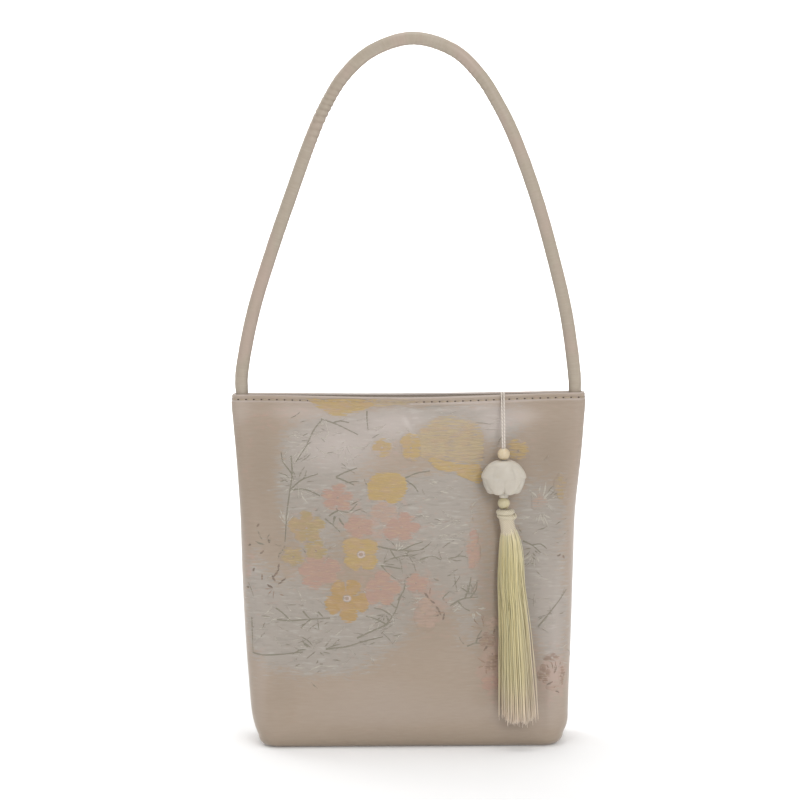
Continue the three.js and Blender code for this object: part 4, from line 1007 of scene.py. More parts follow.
# across, up, reach, first angle, last angle, number of leaves, silk, strength
FANS = [
    (-55.9, 58.1, 16.1, 125, 165, 3, TWIG, 1), (-55.9, 58.1, 14.3, 195, 235, 2, TWIG, 0.9),
    (-54.7, 58.1, 8.9, 330, 350, 2, TWIG, 0.7), (-65.5, 50.3, 5.9, 150, 230, 2, TWIG, 0.6),
    (-56.6, 49.8, 5.4, 20, 80, 2, TWIG, 0.6), (-58.6, 183.1, 20.2, 150, 260, 9, PALE, 0.9),
    (-46.6, 190.3, 11.9, 120, 240, 6, PALE, 0.9), (-37.8, 179.8, 15.5, 200, 330, 6, PALE, 0.7),
    (-67.2, 155.7, 13.1, 20, 170, 8, TWIG, 0.6), (-65.4, 158.1, 14.9, 150, 280, 6, PALE, 0.8),
    (-73.4, 132.5, 11.9, 60, 140, 5, PALE, 0.7), (-74, 120.6, 10.7, 200, 320, 5, TWIG, 0.5),
    (-42.2, 139.5, 8.3, 200, 300, 4, TWIG, 0.8), (-41, 144.8, 9.5, 330, 400, 4, PALE, 0.8),
    (-6.8, 115.1, 11.9, 300, 380, 5, TWIG, 0.5), (-7.9, 117.5, 9.5, 20, 80, 4, PALE, 0.8),
    (-14.1, 80.8, 8.9, 180, 300, 6, TWIG, 0.7), (-17.7, 76, 9.5, 170, 250, 5, PALE, 0.7),
    (35.8, 91.8, 9.5, 40, 140, 5, TWIG, 0.7), (31, 88.4, 9.5, 180, 260, 5, PALE, 0.9),
    (36.9, 84.7, 8.9, 260, 340, 4, PALE, 0.9), (78.5, 144.5, 13.1, 40, 150, 7, PALE, 0.9),
    (78.5, 139.1, 11.9, 200, 330, 7, PALE, 0.9), (80.9, 146.2, 14.3, 0, 60, 4, TWIG, 0.5),
    (73, 117.9, 9.5, 200, 320, 5, TWIG, 0.6), (74.1, 115.5, 11.9, 220, 300, 5, PALE, 0.8),
    (-85.4, 120.5, 9.5, 60, 180, 5, TWIG, 0.5), (-80.2, 95.1, 8.9, 200, 300, 4, BROWN, 0.6),
    (12, 91.3, 5.4, 100, 200, 2, BROWN, 0.9), (16.7, 81.1, 5.4, 20, 130, 3, BROWN, 1),
    (44, 71.4, 9.5, 80, 170, 4, BROWN, 0.8), (46.2, 50, 8.3, 150, 230, 3, BROWN, 0.8),
    (84.9, 44.5, 8.3, 20, 150, 4, BROWN, 0.8), (9.5, 159.8, 10.7, 330, 380, 3, PALE, 0.7),
    (27.1, 135.8, 15.5, 150, 210, 4, PALE, 0.6), (18.1, 124.3, 17.8, 340, 390, 4, PALE, 0.6),
]
STROKES = 340  # short feathery threads in the silver areas
print(len(FLOWERS) + len(PATCHES), "flowers,", len(TWIGS), "twigs,", len(FANS), "fans of leaves")


# %% Weave the pattern into both panels
def scatter_strokes(charts, half, dice):
    """Short pale and grey threads, where the silver weft shows."""
    placed = 0
    while placed < STROKES:
        across, up = dice.uniform(-98, 98), dice.uniform(30, 200)  # mm: short of the seams, the base and the rim
        if dice.random() > float(silver_at(half, [across], [up])[0]) ** 2:
            continue
        placed += 1
        angle = math.radians(dice.gauss(0, 32) + (180 if dice.random() < 0.5 else 0))
        length, bend = dice.uniform(3, 10), dice.uniform(-0.4, 0.4)
        points = [(across + share * length * math.cos(angle + bend * share),
                   up + share * length * math.sin(angle + bend * share)) for share in (0, 0.5, 1)]
        colour = PALE if dice.random() < 0.55 else TWIG
        ribbon(charts[SILKS[colour]], points, dice.uniform(0.7, 1.1), colour, dice.uniform(0.28, 0.6), leaf=True)


def weave_pattern(side_name, half):
    charts = {silk: Chart() for silk in silk_materials}
    scatter_strokes(charts, half, random.Random(23))
    for over, rise in half["repeats"]:
        for strength, line in TWIGS:
            ribbon(charts["twig_silk"], np.array(line) + (over, rise), 1.35, TWIG, 1.05 * strength)
        for across, up, length, angle in SPECKS:
            way = 0.5 * length * np.array((math.cos(math.radians(angle)), math.sin(math.radians(angle))))
            middle = np.array((across + over, up + rise))
            mark = [middle - way, middle + way * (0.1, -0.1), middle + way]
            ribbon(charts["rose_silk"], mark, 1.7, MARK, 0.85, leaf=True)
        for across, up, *rest in FANS:
            leaf_fan(charts, across + over, up + rise, *rest)
        for colour, strength, outline in PATCHES:
            patch(charts[SILKS[colour]], round_curve(np.array(outline) + (over, rise), 4), colour, strength)
        for across, up, *rest in FLOWERS:
            flower(charts, across + over, up + rise, *rest)
    for silk, chart in charts.items():
        charted, faces = chart.cut(half)
        across, up, lift, cover = charted[:, :4].T
        points = on_wall(half, across, up, lift)
        piece = piece_from(f"{side_name}_{silk}", points, faces)
        set_values(piece, "cover", cover)
        set_values(piece, "tint", charted[:, 4:])
        for tone, tone_at in (("silver", silver_at), ("haze", haze_at), ("painted_light", painted_light_at)):
            set_values(piece, tone, tone_at(half, across, points[:, 2]))
        dress(piece, silk_materials[silk], 60, silk)


weave_pattern("front", FRONT)
weave_pattern("back", BACK)

# %% [markdown]
# ## The base
# A piece of board wrapped in the brocade keeps the base flat. It is one block with its upright corners
# rounded first and then all its edges, since it is the one stiff part of the purse.

# %% Base
low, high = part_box("base_panel")
nothing_selected()
bpy.ops.mesh.primitive_cube_add(size=1, location=(low + high) / 2)
base = bpy.context.object
base.name = "base_board_wrapped"
base.scale = high - low
bpy.ops.object.transform_apply(location=True, rotation=True, scale=True)
bpy.ops.object.mode_set(mode="EDIT")
bpy.ops.mesh.select_mode(type="EDGE")
bpy.ops.mesh.select_all(action="DESELECT")
bpy.ops.object.mode_set(mode="OBJECT")
for edge in base.data.edges:
    ends = [base.data.vertices[i].co for i in edge.vertices]
    edge.select = abs(ends[0].z - ends[1].z) > 0.001
bpy.ops.object.mode_set(mode="EDIT")
bpy.ops.mesh.bevel(offset=(CORNER_ROUND - BASE_ROUND - SEAT) / 1000, segments=8)
bpy.ops.object.mode_set(mode="OBJECT")
apply_modifier(base, "BEVEL", width=0.0004, segments=3, limit_method="ANGLE", angle_limit=math.radians(50))
dress(base, base_brocade, 40, "brocade", "base_panel")

# %% [markdown]
# ## The handle
# The handle is the same cloth rolled round a cotton cord and closed with a seam along its inner side. A
# curve with a bevel would give a smooth tube, but a rolled bias strip wrinkles: fine rings all along, and
# deeper ones where the arch bends most, on its inner side. So it is a long grid wrapped round the route
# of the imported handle, with its radius worked out ring by ring.

# %% Route of the handle
HANDLE_RISE, HANDLE_TAIL, HANDLE_STEP = 209.3, 16.0, 0.85  # mm; step: from ring to ring
FOOT = BASE_HALF + (MOUTH_WIDTH / 2 - BASE_HALF) * 0.97 - CLOTH - SEAT - HANDLE_THICK / 2
# across: of half the span between the feet. up: of the rise above the rim
HANDLE_ROUTE = [
    (-1, 0), (-1, 0.052), (-0.93, 0.224), (-0.818, 0.395), (-0.691, 0.565), (-0.562, 0.729), (-0.481, 0.813),
    (-0.369, 0.897), (-0.202, 0.966), (0.041, 1), (0.283, 0.965), (0.439, 0.894), (0.551, 0.809), (0.637, 0.725),
    (0.764, 0.56), (0.866, 0.389), (0.949, 0.218), (0.997, 0.045), (1, 0),
]


def blend(first, second, start, end, t):
    return (end - t) / (end - start) * first + (t - start) / (end - start) * second


def smooth_path(points, step):
    """Evenly spaced places on a centripetal curve through the points."""
    points = np.array(points, float)
    padded = np.vstack([2 * points[0] - points[1], points, 2 * points[-1] - points[-2]])
    knots = np.concatenate([[0], np.cumsum(np.sqrt(np.linalg.norm(np.diff(padded, axis=0), axis=1)))])
    dense = []
    for i in range(1, len(padded) - 2):
        t0, t1, t2, t3 = knots[i - 1:i + 3]
        p0, p1, p2, p3 = padded[i - 1:i + 3]
        for t in np.linspace(t1, t2, 40, endpoint=False):
            a, b, c = blend(p0, p1, t0, t1, t), blend(p1, p2, t1, t2, t), blend(p2, p3, t2, t3, t)
            dense.append(blend(blend(a, b, t0, t2, t), blend(b, c, t1, t3, t), t1, t2, t))
    dense = np.array(dense + [points[-1]])
    run = np.concatenate([[0], np.cumsum(np.linalg.norm(np.diff(dense, axis=0), axis=1))])
    even = np.linspace(0, run[-1], max(2, int(round(run[-1] / step)) + 1))
    return np.stack([np.interp(even, run, dense[:, i]) for i in range(3)], axis=1)


rows = [(-1, -HANDLE_TAIL / HANDLE_RISE)] + HANDLE_ROUTE + [(1, -HANDLE_TAIL / HANDLE_RISE)]
handle_path = smooth_path([(x * FOOT, 0, BAG_HEIGHT + z * HANDLE_RISE) for x, z in rows], HANDLE_STEP)
print("handle:", round(len(handle_path) * HANDLE_STEP), "mm long with its tails")

# %% Handle
HANDLE_SIDES = 28
SEAM_TURN = 0.5  # the seam lies this far round to the front from the inner side


def handle_frame(i):
    """Middle of the roll, the way into the arch and the way along it, at a ring of the path."""
    before, after = handle_path[max(i - 1, 0)], handle_path[min(i + 1, len(handle_path) - 1)]
    run = (after - before) / np.linalg.norm(after - before)
    return handle_path[i], np.array([run[2], 0, -run[0]]), run


def ring_noise(at, seed):
    """Uneven wrinkles: waves of a few lengths that drift in and out of step."""
    total = np.zeros_like(at)
    for pace, share in ((0.9, 0.5), (1.7, 0.3), (3.1, 0.2)):
        total += share * np.sin(at * pace + 2.3 * np.sin(at * pace * 0.23 + seed) + seed * pace)
    return total


def wrinkles(middles, run, angle):
    """How deep the wrinkles are, 0 to 1: one group on the left shoulder, and a weaker one on the right."""
    inner = np.clip(np.cos(angle), 0, 1) ** 0.6
    shoulder = bell(middles[:, 2] - 378, 20) * (middles[:, 0] < 0)
    other = 0.45 * bell(middles[:, 2] - 396, 22) * (middles[:, 0] > 0)
    sharp = np.abs(np.sin(run * 0.82 + 0.7 * np.sin(run * 0.19) + 0.5 * np.sin(angle * 2)))
    return (shoulder * (0.6 + 0.4 * inner) + other * inner) * (1 - sharp ** 0.7)


def handle_surface(rings, angle):
    """Points of the roll, and how much shade is painted into its wrinkles and its seam at each, 0 to 1."""
    run = rings * HANDLE_STEP
    middles, inward, _ = (np.array(part) for part in zip(*(handle_frame(int(i)) for i in rings)))
    radius = np.full(len(rings), HANDLE_THICK / 2)
    radius += 0.045 * ring_noise(run * 1.6 + 0.8 * np.sin(angle), 1.0)
    radius += 0.05 * ring_noise(run * 0.35, 4.0) * np.cos(angle * 2 + run / 40)
    crease = wrinkles(middles, run, angle)
    radius -= 0.8 * crease
    seam = np.angle(np.exp(1j * (angle + SEAM_TURN)))
    radius -= 0.3 * bell(seam, 0.13) - 0.1 * bell(seam - 0.32, 0.16)
    radius -= 0.25 * smooth_rise(middles[:, 2], BAG_HEIGHT + 12, BAG_HEIGHT - 6)  # pressed at the feet
    ways = np.cos(angle)[:, None] * inward + np.sin(angle)[:, None] * np.array([0, 1, 0])
    return middles + radius[:, None] * ways, np.clip(0.75 * crease + 0.5 * bell(seam, 0.16), 0, 1)


def close_tube(piece):
    """Welds a wrapped grid's two long edges and closes its ends."""
    pick(piece)
    bpy.ops.object.mode_set(mode="EDIT")
    bpy.ops.mesh.select_all(action="SELECT")
    bpy.ops.mesh.remove_doubles(threshold=1e-6)
    bpy.ops.mesh.select_all(action="DESELECT")
    bpy.ops.mesh.select_non_manifold()
    bpy.ops.mesh.fill_holes(sides=0)
    bpy.ops.mesh.select_all(action="SELECT")
    bpy.ops.mesh.normals_make_consistent(inside=False)
    bpy.ops.object.mode_set(mode="OBJECT")


def round_grid(name, sides, rows):
    """A grid to be wrapped round something. Gives the object, and the angle and the row of each point."""
    return grid(name, np.linspace(0, 2 * math.pi, sides + 1), rows)


handle, angles, rings = round_grid("rolled_handle", HANDLE_SIDES, np.arange(len(handle_path)))
points, creases = handle_surface(np.round(rings), angles)
set_points(handle, points)
set_values(handle, "crease", creases)
close_tube(handle)
dress(handle, rolled_cloth, 60, "handle_cloth", "handle")

# %% [markdown]
# ## Stitches
# A row of topstitches holds the hem, one every 4.6 mm, and pulls the cloth in where the needle went
# through. A stitch is a small capsule, modelled once and repeated along the row by arrays of numbers,
# which stays light for the file. Beside each end of a stitch lies the dark needle hole.

# %% One stitch, and a row of them
nothing_selected()
bpy.ops.mesh.primitive_uv_sphere_add(segments=10, ring_count=6, radius=1)
model = bpy.context.object
capsule = points_of(model), [tuple(face.vertices) for face in model.data.polygons]
bpy.data.objects.remove(model)


def sew(name, places, thread):
    """One mesh of many capsules. places: (middle, x axis, y axis, z axis), with the sizes in the axes, mm."""
    points, faces = capsule
    all_points = np.concatenate([middle + points @ np.array(axes) for middle, *axes in places])
    all_faces = [tuple(i + len(points) * copy for i in face) for copy in range(len(places)) for face in faces]
    dress(piece_from(name, all_points, all_faces), thread, 80, "sewing_thread")


print("a stitch has", len(capsule[1]), "faces")


# %% Topstitching of the hem
HEM_REACH = 104.0 + SIDE_SEAT  # how far round the hem goes, from the middle to just before the seam


def hem_places(half, shift):
    """Places on the hem line, a stitch apart, with the way along it, the way out and the way up."""
    spots = (np.arange(-25, 26) + shift) * STITCH_PITCH
    spots = spots[np.abs(spots) < HEM_REACH]
    height = (BAG_HEIGHT - HEM) * sag(spots)
    here = on_wall(half, spots, height, np.zeros(len(spots)))
    ahead_of = on_wall(half, spots + 0.8, height, np.zeros(len(spots)))
    out = on_wall(half, spots, height, np.ones(len(spots))) - here
    run = (ahead_of - here) / np.linalg.norm(ahead_of - here, axis=1, keepdims=True)
    return here, run, out, np.cross(run, out)


# kind, shift along the hem in stitches, lift and half length, thickness and height in mm, thread
HEM_ROWS = [
    ("topstitches", 0.5, 0.08, 1.75, 0.26, 0.3, sewing_thread),
    # the needle holes are painted shade: small dark capsules where each hole lies in shade
    ("needle_hole_shade", 0.0, 0.03, 0.62, 0.16, 0.46, hole_shade),
]
for side_name, half in (("front", FRONT), ("back", BACK)):
    for kind, shift, lift, long, thick, tall, thread in HEM_ROWS:
        places = [(here + lift * out, run * long, out * thick, up * tall)
                  for here, run, out, up in zip(*hem_places(half, shift))]
        sew(f"{side_name}_{kind}", places, thread)

# %% Seam stitches of the handle
places = []
for i in range(40, len(handle_path) - 30, 5):
    middle, inward, run = handle_frame(i)
    out = math.cos(SEAM_TURN) * inward - math.sin(SEAM_TURN) * np.array([0, 1, 0])
    side = np.cross(run, out)
    lean = 0.35 * run + side
    places.append((middle + out * (HANDLE_THICK / 2 - 0.22), lean * 0.62, np.cross(lean, out) * 0.16, out * 0.16))
sew("handle_seam_stitches", places, sewing_thread)

# %% [markdown]
# ## The pendant
# From the rim down hang a doubled silk cord, a cream bead, a frosted lotus, a pale green bead and the
# tassel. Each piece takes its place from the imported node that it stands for.

# %% Places down the pendant
def node_box(name):
    """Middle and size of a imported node, in mm."""
    low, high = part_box(name)
    return np.array((low + high) / 2) * 1000, np.array(high - low) * 1000


top_middle, _ = node_box("top_bead")
low_middle, _ = node_box("low_bead")
lotus_middle, lotus_size = node_box("lotus_bead")
cap_middle, cap_size = node_box("tassel_cap")
for middle, drawn in ((top_middle, 1.1), (lotus_middle, 1.4), (low_middle, 1.1), (cap_middle, 0.8)):
    middle[2] -= drawn  # the tassel's weight draws the cord out a little
neck_middle, neck_size = node_box("tassel_binding")
PENDANT_X, PENDANT_Y = top_middle[0], top_middle[1]
print("the pendant hangs at", round(float(PENDANT_X), 1), round(float(PENDANT_Y), 1))

# %% Beads, drilled
BORE = 1.3


def drilled(piece):
    """Takes off both poles of a ball-like mesh, and lines the hole between them."""
    pick(piece)
    bpy.ops.object.mode_set(mode="EDIT")
    bpy.ops.mesh.select_mode(type="VERT")
    bpy.ops.mesh.select_all(action="DESELECT")
    bpy.ops.object.mode_set(mode="OBJECT")
    for vertex in piece.data.vertices:
        vertex.select = math.hypot(vertex.co.x, vertex.co.y) < BORE / 1000 * 0.95
    bpy.ops.object.mode_set(mode="EDIT")
    bpy.ops.mesh.delete(type="VERT")
    bpy.ops.mesh.select_non_manifold()
    bpy.ops.mesh.bridge_edge_loops(number_cuts=3)
    bpy.ops.mesh.select_all(action="SELECT")
    bpy.ops.mesh.normals_make_consistent(inside=False)
    bpy.ops.object.mode_set(mode="OBJECT")


def move_to(piece, middle):
    piece.location = Vector(middle) / 1000
    pick(piece)
    bpy.ops.object.transform_apply(location=True, rotation=True, scale=True)


def bead(name, middle, width, material, slot, node):
    nothing_selected()
    bpy.ops.mesh.primitive_uv_sphere_add(segments=48, ring_count=40, radius=width / 2000)
    piece = bpy.context.object
    piece.name = name
    drilled(piece)
    move_to(piece, middle)
    dress(piece, material, 60, slot, node)


def stone_material(name, dark, light, veins_mm, roughness, depth_mm, coat):
    """Translucent carved stone: soft veins, with light that goes some way in."""
    material = new_material(name, Roughness=roughness, Subsurface_Weight=0.6, Subsurface_Scale=1.0, IOR=1.54,
                            Subsurface_Radius=(depth_mm / 1000, depth_mm / 1100, depth_mm / 1300),
                            Coat_Weight=coat, Coat_Roughness=0.15)
    veins = noise(material, place_of(material), 1000 / veins_mm, Detail=4.0, Distortion=1.5)
    into_shader(material, mixed(material, veins, linear(dark), linear(light)))
    bump_from(material, noise(material, place_of(material), 1500.0, Detail=2.0), 0.15, 0.05)
    return material


cream_stone = stone_material("polished cream stone", "#c5b291", "#d8c9ae", 3.0, 0.3, 1.2, 0.3)
pale_jade = stone_material("polished pale jade", "#b9ae8b", "#cfc6a6", 3.0, 0.3, 1.5, 0.3)
frosted_stone = stone_material("frosted white stone", "#bbb3a6", "#cac3b7", 6.0, 0.5, 2.5, 0.08)
bead("cream_bead", top_middle, 7.3, cream_stone, "cream_bead", "top_bead")
bead("jade_bead", low_middle, 7.2, pale_jade, "jade_bead", "low_bead")

# %% [markdown]
# ## The lotus bead
# The lotus is carved and then frosted: two rows of six petals, mouth down, with a bud tip in the middle.
# A ball with many rings is pushed into that form by a short table of rings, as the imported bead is, only
# with finer petals: each has a crease beside it and a faint ridge down its middle.

# %% Lotus
LOTUS_WIDTH, LOTUS_DEPTH, LOTUS_HEIGHT, PETALS = 26.6, 18.0, 22.0, 6
# out: of half the width. down: of the height. upper, lower: swell of each petal row. lobe: droop of tips
LOTUS_RINGS = np.array([
    (0.10, 0, 0, 0, 0), (0.4, 0.015, 0, 0, 0), (0.68, 0.11, 0.03, 0, 0), (0.86, 0.24, 0.06, 0, 0),
    (0.97, 0.36, 0.07, 0, 0), (1, 0.44, 0.07, 0, 0.02), (0.95, 0.5, 0.03, 0.02, 0), (0.87, 0.62, 0, 0.06, 0.01),
    (0.76, 0.75, 0, 0.11, 0.04), (0.62, 0.85, 0, 0.15, 0.08), (0.4, 0.87, 0, 0.1, 0.07), (0.25, 0.84, 0, 0, 0),
    (0.19, 1, 0, 0, 0), (0.1, 1, 0, 0, 0),
])
nothing_selected()
bpy.ops.mesh.primitive_uv_sphere_add(segments=120, ring_count=72, radius=1)
lotus = bpy.context.object
lotus.name = "lotus_bead_carved"
ball = points_of(lotus)
ring_row = np.arccos(np.clip(ball[:, 2], -1, 1)) / math.pi * (len(LOTUS_RINGS) - 1)
angle = np.arctan2(ball[:, 1], ball[:, 0])
out, down, upper, lower, lobe = (along(range(len(LOTUS_RINGS)), LOTUS_RINGS[:, i], ring_row) for i in range(5))


def petal(angle):
    return np.abs(np.cos(PETALS * angle / 2)) ** 0.7


ridge = bell(np.sin(PETALS * angle / 2), 0.16) * (lower > 0.03)
swell = upper * (petal(angle + math.pi / PETALS) - 0.5) + lower * (petal(angle) - 0.5) + 0.015 * ridge
radius = np.maximum(LOTUS_WIDTH / 2 * out * (1 + swell), 0.001)
flatten = 1 + (LOTUS_DEPTH / LOTUS_WIDTH - 1) * out
lotus_top = lotus_middle[2] + lotus_size[2] / 2
points = np.stack([radius * np.cos(angle), radius * np.sin(angle) * flatten,
                   -down * LOTUS_HEIGHT - lobe * LOTUS_HEIGHT * (petal(angle) - 0.5)], axis=1)
points[np.abs(ball[:, 2]) > 0.99999, :2] = 0  # both poles, which the bore takes off
set_points(lotus, points)
drilled(lotus)
move_to(lotus, (PENDANT_X, PENDANT_Y, lotus_top))
dress(lotus, frosted_stone, 60, "lotus_stone", "lotus_bead")

# %% [markdown]
# ## The cord
# Two strands of thin twisted silk run up through the beads, part a little where they cross the rim, and
# loop round a sewn bar inside. The cord is a string of beads' thread, held all along, so it is a plain
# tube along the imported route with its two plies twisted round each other.

# %% Cord
CORD_THICK, CORD_SPREAD, CORD_TAIL, LOOP_SPREAD, CORD_DROP = 1.0, 1.35, 13.0, 4.0, 29.6
cord_radius = CORD_THICK / 2
rim_height = BAG_HEIGHT * float(sag(PENDANT_X))


def face_depth(x, z):
    """The front's smooth distance from the seam plane, at a place on its face, in mm."""
    x, z = np.atleast_1d(np.asarray(x, float)), np.atleast_1d(np.asarray(z, float))
    level = z / sag(x)
    width, face, side, corner = plan_at(FRONT, x, wall_share(x, z, top=1))
    share = np.clip(np.abs(x) / (width - corner), 0, 1)
    depth = side + (face - side) * np.cos(math.pi / 2 * share) ** 2
    return float((depth - fold_depth(FRONT, x, level) * (1 - share ** 6) + SEAM_GAP / 2)[0])


def cord_points():
    """The cord's route: up one strand, over the rim, round the loop and back."""
    depth = -PENDANT_Y
    wall = face_depth(PENDANT_X, rim_height - 1)
    outside, inside = wall + SEAT + cord_radius + 0.1, wall - CLOTH - SEAT - cord_radius
    middle, over = (outside + inside) / 2, (outside - inside) / 2
    bead_top = rim_height - CORD_DROP
    cap_bottom = cap_middle[2] - cap_size[2] / 2

    def inside_at(below):
        return face_depth(PENDANT_X, rim_height - below) - CLOTH - SEAT - cord_radius

    def strand(side):
        near, across, loop = side * (cord_radius + 0.1), side * CORD_SPREAD / 2, side * LOOP_SPREAD / 2
        route = [
            (near, depth, cap_bottom + SEAT), (near, depth, lotus_middle[2]), (near, depth, bead_top),
            ((near + across) / 2, (depth + outside) / 2, rim_height - CORD_DROP / 2),
            (across, outside + 0.25, rim_height - 2.5), (across, outside, rim_height - 0.4),
            (across, middle + over * 0.75, rim_height + SEAT + cord_radius * 1.6),
            (across, middle, rim_height + SEAT + cord_radius * 2.2),
            (across, middle - over * 0.75, rim_height + SEAT + cord_radius * 1.6),
            (across, inside, rim_height - 0.4),
            (across + (loop - across) * 0.4, inside_at(HEM), rim_height - HEM),
            (loop, inside_at(0.7 * CORD_TAIL), rim_height - CORD_TAIL + LOOP_SPREAD / 2),
        ]
        return [(PENDANT_X + x, -y, z) for x, y, z in route]

    bottom = (PENDANT_X, -inside_at(CORD_TAIL), rim_height - CORD_TAIL)
    return strand(-1) + [bottom] + strand(1)[::-1]


def tube(name, path, sides, radius_at):
    """A grid wrapped round an even path. radius_at gives the radius for distances along it and angles."""
    run = np.gradient(path, axis=0)
    run /= np.linalg.norm(run, axis=1, keepdims=True)
    side = np.cross(run[0], (0.3, 1, 0.2))
    frames = []
    for forward in run:
        side = side - forward * side.dot(forward)
        side /= np.linalg.norm(side)
        frames.append((side, np.cross(forward, side)))
    frames = np.array(frames)
    step = np.linalg.norm(path[1] - path[0])
    piece, angles, rings = round_grid(name, sides, np.arange(len(path)))
    rings = np.round(rings).astype(int)
    radius = radius_at(rings * step, angles)[:, None]
    ways = np.cos(angles)[:, None] * frames[rings, 0] + np.sin(angles)[:, None] * frames[rings, 1]
    set_points(piece, path[rings] + radius * ways)
    close_tube(piece)
    return piece


cord_silk = thread_material("twisted silk cord", "#c3b8ac", "#dcd3c9", 1.2, 0.42)
cord = tube("pendant_cord_twisted", smooth_path(cord_points(), 0.32), 12,
            lambda run, angle: cord_radius * (0.86 + 0.14 * np.abs(np.cos(angle - run * 2 * math.pi / 4.5))))
dress(cord, cord_silk, 70, "cord_silk", "pendant_cord")

tack_middle, tack_size = node_box("cord_tack")
bar = np.linspace(-0.5, 0.5, 40)[:, None] * np.array((0, 0, tack_size[2])) + tack_middle
tack = tube("sewn_bar_tack", bar, 14, lambda run, angle: 0.62 + 0.1 * np.abs(np.sin(run * math.pi / 0.42)))
dress(tack, cord_silk, 70, "cord_silk", "cord_tack")

# %% [markdown]
# ## The tassel's cap and neck
# Two turns of soft cream cord are wound round the top of the tassel and end in a small knot at the right.
# Each turn is a torus whose surface is pushed into slanting plies. They sit a few degrees askew, as wound
# by hand. Below them the floss is gathered into a smooth neck that widens downwards.

# %% Cap
def wound_turn(name, middle, out, thick, plies, tilt):
    nothing_selected()
    bpy.ops.mesh.primitive_torus_add(major_segments=120, minor_segments=18, major_radius=out, minor_radius=1)
    piece = bpy.context.object
    piece.name = name
    points = points_of(piece)
    around = np.arctan2(points[:, 1], points[:, 0])
    core = np.stack([np.cos(around), np.sin(around), 0 * around], axis=1) * out
    off = points - core
    across = np.arctan2(off[:, 2], (off * core).sum(axis=1) / out)
    swell = thick * (1 + 0.03 * np.abs(np.cos(across + plies * around)) - 0.02)
    points = core + off * swell[:, None]
    points[:, 2] += math.tan(math.radians(tilt)) * points[:, 0]
    set_points(piece, points + middle)
    return piece


cap_top = cap_middle[2] + cap_size[2] / 2
cap_axis = np.array((PENDANT_X + 0.9, PENDANT_Y, 0))
turns = [
    wound_turn("cap_turn_high", cap_axis + (0, 0, cap_top - 1.75), 3.85, 1.65, 23, 1.5),
    wound_turn("cap_turn_low", cap_axis + (0.2, 0, cap_top - 4.6), 3.9, 1.35, 23, -5.0),
]
knot_path = smooth_path([(4.4, -2.6, -3.4), (5.3, -1.6, -4.9), (5.9, 0.2, -4.4), (5.2, 1.0, -3.6), (5.6, -0.6, -3.2),
                         (6.1, -1.2, -4.6), (5.2, -1.2, -5.6), (4.2, -2.0, -5.9)], 0.2)
knot = tube("cap_knot", knot_path + cap_axis + (0, 0, cap_top), 12,
            lambda run, angle: 0.62 + 0.05 * np.abs(np.cos(angle - run * 1.6)))
nothing_selected()
for part in turns + [knot]:
    part.select_set(True)
bpy.context.view_layer.objects.active = turns[0]
bpy.ops.object.join()
cap = turns[0]
cap.name = "tassel_cap_wound"
cap_silk = thread_material("soft cream cotton cord", "#b8ad93", "#cdc3ac", 0.8, 0.3)
dress(cap, cap_silk, 70, "binding_silk", "tassel_cap")

# %% Neck
neck_top, neck_low = cap_top - 1.2, neck_middle[2] - neck_size[2] / 2
# down: of the neck. out: radius in mm
NECK = np.array([(0, 1.5), (0.04, 3.4), (0.12, 4.3), (0.45, 4.3), (0.62, 4.35), (0.85, 4.5), (1, 4.4), (1.02, 4.4)])
neck, angles, downs = round_grid("tassel_neck_gathered", 144, np.linspace(1, 0, 40))
out = along(NECK[:, 0], NECK[:, 1], downs)
threads = 0.1 * np.abs(np.sin(angles * 36 + 0.8 * np.sin(angles * 5) + downs * 1.5)) * smooth_rise(downs, 0.1, 0.3)
lean = 1.5 * smooth_rise(downs, 0.2, 1.0) + 1.4
out = out + threads
set_points(neck, np.stack([PENDANT_X + lean + out * np.cos(angles), PENDANT_Y + out * np.sin(angles) * 0.92,
                           neck_top + (neck_low - neck_top) * downs], axis=1))
close_tube(neck)
neck_silk = thread_material("gathered cream floss", "#bdaf95", "#cfc3ad", 0.8, 0.36)
dress(neck, neck_silk, 70, "binding_silk", "tassel_binding")

# %% [markdown]
# ## The fringe
# Several hundred strands of shiny floss hang from the neck, fan out and drift to the right, and lie against
# the cloth. Hair particles could make them, but they don't export. So one strand is a thin three-sided
# tube, repeated along its own path: each keeps its place in the bundle, leans to a few locks, and ends at
# its own length. Their colour runs from cream at the neck over yellow green to pale, worn ends.

# %% Paths of the strands
FRINGE_LENGTH, FRINGE_WIDTH, FRINGE_DEPTH, FRINGE_DRIFT, NECK_WIDTH = 108.0, 25.0, 13.0, 7.6, 9.3
# down, opening, drift: shares of the length, of the widening and of the drift to the right
FRINGE = np.array([(0, 0, 0), (0.06, 0.2, 0.14), (0.2, 0.4, 0.42), (0.45, 0.62, 0.72), (0.75, 0.86, 0.9), (1, 1, 1)])
FLOSS_DOWN = [0.0, 0.05, 0.16, 0.45, 0.8, 0.95, 1.0]
FLOSS_TINTS = np.array([linear(code)[:3] for code in
                        ("#e4dabb", "#ddd2a6", "#d2c793", "#d6cb99", "#dacfa4", "#ddccb4", "#e2d0c0")])
STRANDS, LOCKS, STEPS = 860, 17, 20
fringe_top = neck_low
spread_dice = np.random.default_rng(7)


def fringe_middle(down):
    """The middle and the half sizes of the bundle at a share of its length."""
    opening = float(along(FRINGE[:, 0], FRINGE[:, 1], down))
    drift = float(along(FRINGE[:, 0], FRINGE[:, 2], down))
    x, z = PENDANT_X + FRINGE_DRIFT * drift, fringe_top - down * FRINGE_LENGTH
    half_wide = NECK_WIDTH / 2 + (FRINGE_WIDTH - NECK_WIDTH) / 2 * opening
    half_deep = NECK_WIDTH / 2 + (FRINGE_DEPTH - NECK_WIDTH) / 2 * opening
    face = max(face_depth(x + side * half_wide, max(z, 0)) for side in (-1, 0, 1))
    return np.array((x, -max(-PENDANT_Y, face + half_deep + 0.6), z)), half_wide, half_deep


